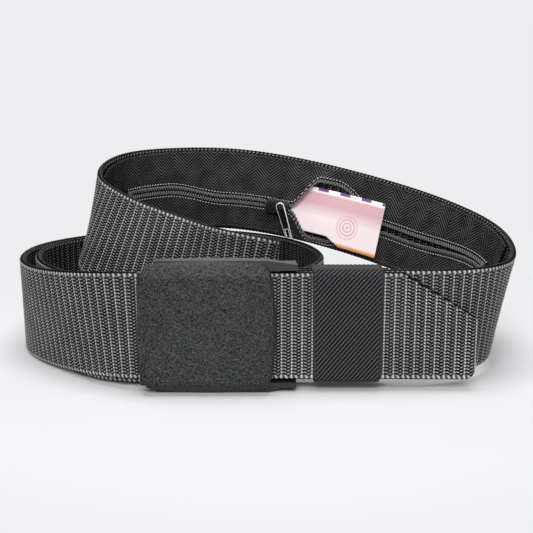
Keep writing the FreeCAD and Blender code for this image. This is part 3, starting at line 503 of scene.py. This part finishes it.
def strap_relief(along, across, shift):
    """Height of the weave from 0 in the gaps to 1 on the ribs.

    Each pitch holds one twisted rib and two columns of bars that slant opposite ways.
    """
    slant, sharpness, selvage_width, selvage_blend = 1.3, 1.3, 1.9, 0.6
    phase = (along / RIB_PITCH + shift) % 1.0
    bars = across / BAR_PITCH

    def hill(centre, width):
        gap = np.abs(phase - centre)
        gap = np.minimum(gap, 1 - gap)
        return np.exp(-(gap / width) ** 2)

    twist = np.cos(FULL_TURN * (bars + 0.9 * phase))
    rib = hill(0.0, 0.15) * (0.74 + 0.26 * twist)
    falling = 0.5 + 0.5 * np.cos(FULL_TURN * (bars + slant * (phase - 0.32)))
    climbing = 0.5 + 0.5 * np.cos(FULL_TURN * (bars - slant * (phase - 0.66) + 0.5))
    first = 0.97 * falling**sharpness * hill(0.34, 0.20)
    second = 0.86 * climbing**sharpness * hill(0.68, 0.18)
    weave = np.maximum(rib, np.maximum(first, second))
    loops = 0.60 + 0.30 * np.cos(FULL_TURN * (along / (RIB_PITCH / 2) + across * 0.22 + shift))
    edge = np.clip((np.abs(across) - (STRAP_HALF - selvage_width)) / selvage_blend, 0, 1)
    return weave * (1 - edge) + loops * edge


def strap_section(fill):
    """Ring of points round the strap: outer face, top edge, inner face, bottom edge.

    Gives their heights, how far out they stand from 1 to -1, and 1 for those on a face.
    """
    inner = np.linspace(-1, 1, fill + 1)
    turn = np.radians([62, 31, 0, -31, -62])
    rim = STRAP_HALF - EDGE_ROUND
    bulge = EDGE_ROUND * np.cos(turn)
    height = np.concatenate([inner * rim, rim + bulge, inner[::-1] * rim, -rim - bulge])
    face, edge = np.ones(fill + 1), np.zeros(len(turn))
    flat = np.concatenate([face, np.sin(turn), -face, -np.sin(turn)])
    return height, flat, np.concatenate([face, edge, face, edge])


def tip_outline(x, on_tail):
    """Lowest and highest point of the strap, cut to a slant with one round corner at its tip."""
    slant = np.clip((x - TIP_START) / (TIP_END - TIP_START), 0, 1)
    top = np.where(on_tail, STRAP_HALF - TIP_DROP * slant, STRAP_HALF)
    into = np.where(on_tail, np.clip(x - (TIP_END - TIP_CORNER), 0, TIP_CORNER), 0)
    low = -STRAP_HALF + TIP_CORNER - np.sqrt(np.maximum(TIP_CORNER**2 - into**2, 0))
    return low, top


def make_webbing():
    """The whole strap as one closed mesh, with its weave as relief."""
    # The last number below scales the inner face's colour down: painted shade.
    fill, fused_width, fused_height, inner_face_shade = 124, 0.7, 0.55, 0.72
    crown_start, crown_run, crown_drop = 0.93, 0.07, 0.18
    loop_depth, edge_inset, face_stand = 0.16, 0.3, 0.02
    stations = middle_line()
    knots = chord_knots(stations)
    moments = spline_moments(knots, stations)
    places = np.append(np.arange(0, knots[-1], RIB_PITCH / 8), knots[-1])
    values, rates = spline_at(knots, stations, moments, places)
    _, across, outward = frames(rates[:, :3], values[:, 3])
    point = values[:, :3]
    height, flat, on_face = strap_section(fill)
    on_tail = places > knots[len(fold_line()) + len(ROUTE) - 1]
    x = point[:, 0]
    low, top = tip_outline(x, on_tail)
    stretch = (height / STRAP_HALF + 1) / 2
    v = low[:, None] + (top - low)[:, None] * stretch[None]
    a = np.broadcast_to(places[:, None], v.shape)
    relief = strap_relief(a, v, np.where(flat >= 0, 0.0, 0.5)[None])
    cut = np.where(on_tail, np.clip((x - TIP_START + 1) / 2, 0, 1), 0)[:, None]
    fused = np.clip(1 - (top[:, None] - v) / fused_width, 0, 1) * cut
    relief = relief * (1 - fused) + fused_height * fused
    loops = 0.5 + 0.5 * np.cos(FULL_TURN * a / (RIB_PITCH / 2))
    half = STRAP_THICK / 2
    crown = np.clip((np.abs(stretch * 2 - 1) - crown_start) / crown_run, 0, 1)[None]
    face_off = flat * (half - RELIEF * (1 - relief) + face_stand) * (1 - crown_drop * crown)
    edge_off = flat * (half - edge_inset) * (0.92 + 0.08 * loops)
    off = np.where(on_face[None] > 0, face_off, edge_off)
    v = v + np.sign(height)[None] * (1 - on_face)[None] * (loops - 1) * loop_depth * (1 - cut)
    # Painted shade: the rounded edges get low values, so the webbing colour paints them near black.
    relief = np.where(on_face[None] > 0, relief, 0.16 + 0.14 * loops)
    points = point[:, None] + across[:, None] * v[..., None] + outward[:, None] * off[..., None]
    uv = np.stack([a, v], axis=-1)
    around = v.shape[1]
    j = np.arange(fill)
    last = around - 1 - (around // 2 - fill - 1)
    start = np.stack([j, last - j, last - j - 1, j + 1], axis=-1)
    end = start[:, ::-1] + (len(places) - 1) * around
    faces = np.concatenate([tube_faces(len(places), around, closed_ends=False), start, end])
    # Painted shade: the inner face's relief values are scaled down, so it is painted darker than the
    # outer face.
    inner_painted_shade = np.where((flat < 0)[None], inner_face_shade, 1.0)
    strap = mesh_object("belt_webbing", points, faces, WEBBING, uv, relief * inner_painted_shade)
    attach(strap, "belt")
    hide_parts(*[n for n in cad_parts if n.startswith("strap_")])


# ------------------------------------------------------------------ pocket
def smooth(value):
    """Rise from 0 to 1 with level ends."""
    value = np.clip(value, 0, 1)
    return value * value * (3 - 2 * value)


def risen(distance, step):
    """How far a step has risen at a distance, from 0 to 1."""
    begin, run = step
    return smooth((distance - begin) / run)


def right_of_slider(along):
    return SLIDER_AT - SLIDER_LENGTH / 2 - along


def zip_middle(along):
    """Height of the zip's line over the strap's middle: it sags, most of all at the slider."""
    sagging = risen(along, SAG_STEP)
    sag = ZIP_SAG * sagging + SLIDER_SAG * risen(along, SLIDER_SAG_STEP)
    return RIGHT_RISE * (1 - sagging) - sag * (1 - risen(along, SAG_END_STEP))


def row_edge(along, side):
    """Distance of a coil row's edge from the strap's middle."""
    right = right_of_slider(along)
    opened = risen(right, OPEN_STEP) * (1 - risen(right, CLOSE_STEP))
    ajar = AJAR_HALF * risen(right, AJAR_STEP) * (1 - risen(right, AJAR_END_STEP))
    half = ROW_GAP + opened * (MOUTH_HALF - ROW_GAP) + (1 - opened) * ajar
    return half + side * zip_middle(along)


def raised(along, over, side):
    """How far a layer stands off the strap at the mouth."""
    right = right_of_slider(along)
    lift = MOUTH_LIFT * risen(right, LIFT_STEP) * (1 - risen(right, LIFT_END_STEP))
    from_edge = PANEL_REACH - np.minimum(over, PANEL_REACH)
    return lift * from_edge / (PANEL_REACH - row_edge(along, side))


def rounded(part, drop):
    """Drop of a rounded edge: none where part is 0 and all of it where part is 1."""
    return drop * (1 - np.sqrt(1 - np.clip(part, 0, 1) ** 2))


def ribbon(name, first, last, low, high, depth, thick, columns, material, side, swell=None):
    """Cloth layer on the strap's inner face, between two heights, with rounded long edges."""
    step = 0.6
    along = np.linspace(first, last, int((last - first) / step) + 1)
    t = np.linspace(0, 1, columns + 1)
    lo, hi = low(along)[:, None], high(along)[:, None]
    over = lo + (hi - lo) * t
    out = depth + raised(along[:, None], over, side)
    if swell is not None:
        out = out + swell(along[:, None], t[None])
    rounding = rounded((np.abs(2 * t - 1) - 0.9) / 0.1, 0.5 * thick)
    top, foot = out + thick - rounding, out + rounding
    overs = np.concatenate([over, over[:, ::-1]], axis=1) * side
    outs = np.concatenate([top, foot[:, ::-1]], axis=1)
    places = np.broadcast_to(along[:, None], overs.shape)
    points = on_strap(places, overs, outs)
    uv = np.stack([places, overs], axis=-1)
    faces = tube_faces(len(along), overs.shape[1])
    if side > 0:
        faces = faces[:, ::-1]
    return mesh_object(name, points, faces, material, uv)


def stitch_row(name, first, last, over, depth, side, thread, pitch=2.1, length=1.5, radius=0.19):
    """Row of thread stitches that dip into the cloth at both ends."""
    stand, sink, sides = 0.16, 0.06, 6
    starts = np.arange(first, last, pitch)
    t = np.linspace(0, 1, 7)
    along = starts[:, None] + t * length
    heights = over(along)
    arch = np.sin(math.pi * t)
    depths = depth + raised(along, heights, side) + (arch**0.6 * stand - sink)
    paths = on_strap(along, heights * side, depths)
    normals = inward_at(along.ravel()).reshape(paths.shape)
    radii = np.broadcast_to(radius * (0.45 + 0.55 * arch**0.4), along.shape)
    points, faces = tubes(paths, normals, radii, sides)
    uv = np.repeat(np.stack([along, heights], axis=-1).reshape(-1, 1, 2), sides, axis=1)
    return mesh_object(name, points, faces, thread, uv)


def coil_row(name, side):
    """Nylon coil: one long helix sewn along the tape, with locking heads at its edge."""
    pitch, per_turn, wire, head_swell = 1.25, 12, 0.3, 0.3
    turns = (ZIP_LEFT - ZIP_RIGHT) / pitch
    t = np.arange(int(turns * per_turn)) / per_turn
    along = ZIP_RIGHT + t * pitch
    angle = FULL_TURN * t + (0 if side > 0 else math.pi)
    middle = row_edge(along, side) + ROW_WIDTH / 2
    over = middle - (ROW_WIDTH / 2 - wire) * np.cos(angle)
    centre = ROW_DEPTH + ROW_THICK / 2 + raised(along, middle, side)
    depth = centre + (ROW_THICK / 2 - wire) * np.sin(angle)
    head = np.clip(np.cos(angle), 0, 1) ** 4
    path = on_strap(along, over * side, depth)[None]
    normals = route_frames(along)[1][None]
    points, faces = tubes(path, normals, (wire * (1 + head_swell * head))[None], sides=7)
    return mesh_object(name, points, faces, COIL)


def pucker(along, t):
    """Small waves where the seams draw the lining in, and a slow swell between them."""
    seam = np.exp(-((1 - t) / 0.22) ** 2) + np.exp(-(t / 0.25) ** 2)
    return 0.12 * seam * np.sin(along * 1.5) + 0.10 * np.sin(along * 0.21 + 1) * np.sin(math.pi * t)


def make_pocket():
    """Lining, zip tape, coil and stitches, above and below the zip."""
    reach, length = PANEL_REACH, POCKET_LEFT - POCKET_RIGHT
    skin = ROW_DEPTH + PANEL_THICK
    for word, side in (("upper", 1), ("lower", -1)):
        def fold(a, side=side):
            return np.minimum(row_edge(a, side) + PANEL_SETBACK, reach - 0.9)

        def rim(a):
            return np.full(np.shape(a), reach)

        def tape_low(a, side=side):
            return row_edge(a, side) + TAPE_SETBACK

        def tape_high(a, side=side):
            return np.minimum(tape_low(a, side) + TAPE_WIDTH, reach - 0.15)

        def edge_line(a):
            return rim(a) - EDGE_SEAM_INSET

        def zip_line(a, side=side):
            return np.minimum(fold(a, side) + ZIP_SEAM_INSET, reach - 0.3)
        panel = ribbon(f"lining_{word}", POCKET_RIGHT, POCKET_LEFT, fold, rim, ROW_DEPTH,
                       PANEL_THICK, 22, LINING, side, pucker)
        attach(panel, "belt")
        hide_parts(f"pocket_panel_{word}")
        tape = ribbon(f"tape_{word}", ZIP_RIGHT - TAPE_OVERRUN, ZIP_LEFT + TAPE_OVERRUN,
                      tape_low, tape_high, TAPE_DEPTH, TAPE_THICK, 8, TAPE, side)
        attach(tape, "belt")
        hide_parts(f"zip_tape_{word}")
        coil = coil_row(f"coil_{word}", side)
        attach(coil, "belt")
        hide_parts(f"zip_row_{word}")
        edge_row = stitch_row(f"edge_stitches_{word}", POCKET_RIGHT + 1, POCKET_LEFT - 2,
                              edge_line, skin, side, THREAD)
        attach(edge_row, "belt")
        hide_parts(f"edge_seam_{word}")
        zip_seam = stitch_row(f"zip_stitches_{word}", ZIP_RIGHT - 3, ZIP_LEFT + 2, zip_line,
                              skin, side, ZIP_THREAD, pitch=1.45, length=0.95, radius=0.24)
        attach(zip_seam, "belt")


# ------------------------------------------------------------------ paper slip
def make_slip():
    """Folded slip: one sheet folded along its top edge, curved like the strap, rising off it."""
    length, tall, radius, rise = 46.0, 24.8, 107.0, math.radians(4.9)
    middle, lift, trim, trim_start, trim_end = -4.9, 0.25, -8.8, 19.5, 26.5
    paper, fold_radius = 0.09, 0.19
    slider_gap, curl_height = 0.8, 0.04
    start = right_of_slider(0) - slider_gap
    point, travel, across, outward = (part[0] for part in route_frames(np.array([start])))
    base = point + across * middle - outward * (STRAP_THICK / 2 + lift)
    s = np.linspace(0, length, 93)
    foot = np.interp(s, [0, trim_start, trim_end, length], [trim, trim, -tall / 2, -tall / 2])
    t = np.linspace(0, 1, 47)
    turn = np.radians(np.linspace(0, 180, 9))[1:-1]
    top = tall / 2 - fold_radius

    def path(radius_now):
        """Front leaf up, round the fold, back leaf down: heights and depths from the middle."""
        leaf = foot[:, None] + (top - foot)[:, None] * t[None]
        ones = np.ones((len(s), 1))
        flat = ones * radius_now * np.ones(len(t))
        bend_height = ones * (top + radius_now * np.sin(turn))
        height = np.concatenate([leaf, bend_height, leaf[:, ::-1]], axis=1)
        gap = np.concatenate([flat, ones * radius_now * np.cos(turn), -flat], axis=1)
        return height, gap

    outer, inner = path(fold_radius), path(fold_radius - paper)
    height = np.concatenate([outer[0], inner[0][:, ::-1]], axis=1)
    gap = np.concatenate([outer[1], inner[1][:, ::-1]], axis=1)
    curl = curl_height * np.sin(s / 5.1)[:, None] * np.cos(height / 7.0)
    distance = radius - 0.2 - gap + np.minimum(curl, 0)
    angle = (rise + s / radius)[:, None]
    x = radius * math.sin(rise) - np.sin(angle) * distance
    y = radius * math.cos(rise) - np.cos(angle) * distance
    points = base + travel * x[..., None] + across * height[..., None] - outward * y[..., None]
    part_along = np.broadcast_to(s[:, None] / length, height.shape)
    uv = np.stack([part_along, height / tall + 0.5], axis=-1)
    slip = mesh_object("slip_leaves", points, tube_faces(len(s), height.shape[1]), PAPER, uv)
    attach(slip, "slip")
    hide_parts("paper_slip")


# ------------------------------------------------------------------ buckle
def eased(count, power):
    """Numbers from -1 to 1 that lie closer together near both ends the larger the power."""
    n = np.linspace(-1, 1, count)
    return np.sign(n) * (1 - (1 - np.abs(n)) ** power)


def cover_surface(inset, sink, stipple):
    """Grid of the cover's skin: bowed outline, sloping top and bottom, rounded everywhere."""
    left, right, height = -41.9, 5.2, 46.0
    back, front = -63.5, -68.0
    bevel_top, bevel_side, corner = 4.2, 1.0, 4.0
    side_bow, top_bow, crispness, grain_height = 2.2, 0.9, 14, 0.40
    s, t = eased(241, 1.25), eased(241, 1.15)
    middle, half_w = (left + right) / 2, (right - left) / 2 - inset
    half_h = height / 2 - inset
    level = np.abs(t) * half_h
    into_corner = np.maximum(level - (half_h - corner), 0)
    round_in = corner - np.sqrt(np.maximum(corner**2 - into_corner**2, 0))
    width = half_w - side_bow * (level / half_h) ** 2 - round_in
    x = middle + s[:, None] * width[None]
    z = MID_Z + t[None] * (half_h - top_bow * s[:, None] ** 2)
    from_top = (1 - np.abs(t))[None] * half_h / bevel_top
    from_side = (1 - np.abs(s))[:, None] * width[None] / bevel_side * 1.3
    stack = np.stack([np.broadcast_to(from_top, x.shape), from_side, np.ones(x.shape)])
    rise = np.clip(-np.log(np.exp(-crispness * stack).sum(axis=0)) / crispness, 0, 1)
    y = back - (back - front - sink) * rise
    if stipple:
        grain = RNG.normal(size=x.shape)
        beside = (np.roll(grain, 1, 0), np.roll(grain, 1, 1), np.roll(grain, (1, 1), (0, 1)))
        grain = (grain + beside[0] + beside[1] + beside[2]) / 4
        smooth_foot = np.clip((t[None] + 0.92) / 0.06, 0.1, 1)
        y = y + grain_height * grain * np.clip(rise * 3, 0, 1) * smooth_foot
    return np.stack([x, y, z], axis=-1)


def make_cover():
    """Hollow cover with a stippled skin, and the hub that turns on the hinge pin."""
    wall = 1.2
    outer = cover_surface(0.0, 0.0, True)
    inner = cover_surface(wall, wall, False)
    rows, columns = outer.shape[:2]
    size = rows * columns
    border = np.concatenate([
        np.arange(columns), np.arange(1, rows) * columns + columns - 1,
        size - 2 - np.arange(columns - 1), (rows - 2 - np.arange(rows - 2)) * columns,
    ])
    following = np.roll(border, -1)
    faces = np.concatenate([
        grid_faces(rows, columns)[:, ::-1], grid_faces(rows, columns, size),
        np.stack([border, following, following + size, border + size], axis=-1),
    ])
    points = np.concatenate([outer.reshape(-1, 3), inner.reshape(-1, 3)])
    shell = mesh_object("cover_shell", points, faces, COVER)
    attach(shell, "cover")
    hub_x, hub_y, hub_radius, foot, head = -39.6, -64.8, 2.0, 7.7, 38.3
    web_left, web_right, web_y, end_bevel = hub_x - 1.4, hub_x + 2.6, -67.3, 0.3
    angle = np.radians(np.linspace(-30, 210, 25))
    ring = np.stack([hub_x + hub_radius * np.cos(angle), hub_y + hub_radius * np.sin(angle)], axis=1)
    outline = np.concatenate([ring, [(web_left, web_y), (web_right, web_y)]])
    levels = np.array([foot, foot + end_bevel, head - end_bevel, head])
    shrink = np.array([0.9, 1.0, 1.0, 0.9])
    centre = np.array([hub_x, hub_y])
    rings = centre + (outline - centre)[None] * shrink[:, None, None]
    heights = np.broadcast_to(levels[:, None, None], rings.shape[:2] + (1,))
    points = np.concatenate([rings, heights], axis=-1)
    hub = mesh_object("cover_hub", points, tube_faces(4, len(outline)), BUCKLE, smooth=False)
    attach(hub, "cover")
    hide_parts("buckle_cover")


def rounded_cad(name, material, width, highlight_material=None):
    """A CAD node kept as it is, with eased edges and a proper finish; a second material, if given, goes
    on the eased edges as a painted highlight.
    """
    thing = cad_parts[name]
    thing.data.materials.clear()
    thing.data.materials.append(material)
    weld = thing.modifiers.new("joined_edges", "WELD")
    weld.merge_threshold = 0.002 * MM
    bevel = thing.modifiers.new("eased_edges", "BEVEL")
    bevel.width = width * MM
    bevel.segments = 3
    bevel.limit_method = "ANGLE"
    bevel.angle_limit = math.radians(35)
    if highlight_material:
        thing.data.materials.append(highlight_material)
        bevel.material = 1


# ------------------------------------------------------------------ keeper
def keeper_outline(count):
    """Evenly spaced points round the keeper, their outward directions and their distances."""
    corner = 2.6
    front, back, foot, head = -63.4 + corner, -51.0 - corner, 2.9 + corner, 43.1 - corner
    centres = [(front, head, 180, 90), (back, head, 90, 0),
               (back, foot, 0, -90), (front, foot, -90, -180)]
    loop, normal = [], []
    for y, z, begin, finish in centres:
        for angle in np.radians(np.linspace(begin, finish, 9)):
            direction = (math.cos(angle), math.sin(angle))
            loop.append((y + corner * direction[0], z + corner * direction[1]))
            normal.append(direction)
    loop, normal = np.array(loop + loop[:1]), np.array(normal + normal[:1])
    lengths = np.linalg.norm(np.diff(loop, axis=0), axis=1)
    travelled = np.concatenate([[0], np.cumsum(lengths)])
    around = np.linspace(0, travelled[-1], count + 1)[:-1]
    ring = np.stack([np.interp(around, travelled, loop[:, i]) for i in (0, 1)], axis=1)
    out = np.stack([np.interp(around, travelled, normal[:, i]) for i in (0, 1)], axis=1)
    return ring, out, around


def make_keeper():
    """Elastic band with slanting ribs and plain selvages."""
    left, width, wall = 17.8, 23.5, 0.8
    pitch_along, pitch_round, rib_depth, waist_depth = 1.48, 1.74, 0.30, 0.35
    selvage_width, selvage_blend, round_width, round_drop = 0.9, 0.4, 0.45, 0.4
    ring, out, around = keeper_outline(400)
    x = np.linspace(0, width, 95)
    edge = np.minimum(x, width - x)
    slanted = FULL_TURN * (x[:, None] / pitch_along - around[None] / pitch_round)
    ribs = (0.5 + 0.5 * np.sin(slanted)) ** 1.6
    cross = 0.62 + 0.38 * np.cos(FULL_TURN * (around[None] / 0.78 + x[:, None] / 3.1))
    selvage = np.clip((selvage_width - edge) / selvage_blend, 0, 1)[:, None]
    relief = ribs * cross * (1 - selvage) + 0.22 * selvage
    rounding = rounded((round_width - edge) / round_width, round_drop)[:, None]
    outer_off = -rib_depth * (1 - relief) - rounding
    inner_off = -wall + rounding
    from_middle = ((x / width - 0.5) * 2)[:, None]
    waist = waist_depth * from_middle * ((ring[:, 1] - MID_Z) / 20)[None]

    def layer_points(off):
        y = ring[None, :, 0] + out[None, :, 0] * off
        z = ring[None, :, 1] + out[None, :, 1] * off
        return np.stack([left + x[:, None] + waist, y, z], axis=-1)

    outside, inside = layer_points(outer_off), layer_points(inner_off)
    rows, columns = relief.shape
    size = rows * columns
    quads = tube_faces(rows, columns, closed_ends=False)
    j = np.arange(columns)
    k = (j + 1) % columns
    last = (rows - 1) * columns
    faces = np.concatenate([
        quads, quads[:, ::-1] + size,
        np.stack([j, j + size, k + size, k], axis=-1),
        last + np.stack([j, k, k + size, j + size], axis=-1),
    ])
    points = np.concatenate([outside.reshape(-1, 3), inside.reshape(-1, 3)])
    uv = np.stack(np.broadcast_arrays(x[:, None], around[None]), axis=-1).reshape(-1, 2)
    values = np.concatenate([relief.ravel(), np.full(size, 0.3)])
    band = mesh_object("keeper_band", points, faces, KEEPER, np.concatenate([uv, uv]), values)
    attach(band, "keeper")
    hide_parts("keeper_loop")


def make_fold_stitches():
    """Two dense upright rows that sew the folded end down."""
    surface, stand, radius, length, sides = -52.85, 0.22, 0.2, 1.6, 6
    foot, head, pitch, slant = 7.0, 39.0, 0.75, 0.35
    z = np.arange(foot, head, pitch)[:, None]
    t = np.linspace(0, 1, 7)[None]
    for word, x in (("near", 25.0), ("far", 41.0)):
        along = x - 0.2 + t * length
        out = surface + stand * np.sin(math.pi * t)
        paths = np.stack(np.broadcast_arrays(along, out, z + slant * t), axis=-1)
        normals = np.broadcast_to(np.array([0.0, 1.0, 0.0]), paths.shape)
        points, faces = tubes(paths, normals, np.full(paths.shape[:2], radius), sides)
        uv = np.repeat(paths.reshape(-1, 1, 3)[:, :, (0, 2)], sides, axis=1)
        row = mesh_object(f"fold_stitches_{word}", points, faces, THREAD, uv)
        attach(row, "belt")
        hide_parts(f"fold_stitch_{word}")


make_webbing()
make_pocket()
make_slip()
make_cover()
make_keeper()
make_fold_stitches()
rounded_cad("buckle_frame", BUCKLE, 0.35)
rounded_cad("hinge_pin", STEEL, 0.1)
# The slider's and the pull tab's eased edges get the pale material: a painted highlight.
rounded_cad("zip_slider", ENAMEL, 0.2, EDGE_HIGHLIGHT)
rounded_cad("pull_tab", ENAMEL, 0.36, EDGE_HIGHLIGHT)
rounded_cad("zip_stop_left", COIL, 0.2)
rounded_cad("zip_stop_right", COIL, 0.2)
rounded_cad("keeper_seam", THREAD, 0.05)


# ------------------------------------------------------------------ stage
PALE = (0.98, 0.98, 1.0, 1)
BACKDROP, LIT = 0.871, 0.20
FLOOR_REACH = 6000.0
BLEND_START, BLEND_END = 0.095, 0.20


def make_stage():
    """Pale floor: lit and shadowed near the belt, and one even tone farther off.

    The blend is by distance from the floor's own middle, in metres.
    """
    sides = (-FLOOR_REACH, FLOOR_REACH)
    points = np.array([(x, y, 0.0) for y in sides for x in sides])
    material, tree, shader = new_material("stage", (0.56, 0.56, 0.571), 0.9, Specular_IOR_Level=0.0)
    place = node(tree, "ShaderNodeTexCoord").outputs["Object"]
    reach = node(tree, "ShaderNodeVectorMath", {0: place}, operation="LENGTH").outputs["Value"]
    limits = {0: reach, 1: BLEND_START, 2: BLEND_END, 3: 0.0, 4: 1.0}
    far_part = node(tree, "ShaderNodeMapRange", limits, interpolation_type="SMOOTHSTEP").outputs[0]
    even = node(tree, "ShaderNodeEmission", {"Color": PALE, "Strength": BACKDROP})
    layers = {0: far_part, 1: shader.outputs[0], 2: even.outputs[0]}
    blend = node(tree, "ShaderNodeMixShader", layers)
    output = next(n for n in tree.nodes if n.type == "OUTPUT_MATERIAL")
    tree.links.new(blend.outputs[0], output.inputs["Surface"])
    floor = mesh_object("floor", points, np.array([[0, 1, 3, 2]]), material, smooth=False)


def make_world():
    """Backdrop of one even tone that lights the belt only softly."""
    world = bpy.data.worlds.new("studio")
    world.use_nodes = True
    tree = world.node_tree
    background = tree.nodes["Background"]
    background.inputs[0].default_value = PALE
    seen = node(tree, "ShaderNodeLightPath").outputs["Is Camera Ray"]
    strength = maths(tree, "MULTIPLY_ADD", seen, BACKDROP - LIT, LIT)
    tree.links.new(strength, background.inputs[1])
    bpy.context.scene.world = world
    bpy.context.scene.view_settings.view_transform = "Standard"


make_stage()
make_world()
area_light("key", (-0.10, -1.12, 0.92), (0, 0, 0.03), 0.90, 0.60, 18.6)
area_light("top", (-0.02, -0.06, 0.80), (0, 0, 0.02), 0.55, 0.40, 5.8)
area_light("left", (-0.80, 0.00, 0.40), (0, 0, 0.03), 0.4, 0.4, 0.15)
area_light("right", (0.80, -0.10, 0.40), (0, 0, 0.03), 0.4, 0.4, 0.7)
area_light("low", (0.0, -0.62, 0.025), (0, 0, 0.03), 0.60, 0.04, 1.5)
area_light("behind", (0.05, 0.90, 0.60), (0, 0, 0.04), 0.6, 0.4, 2.6)
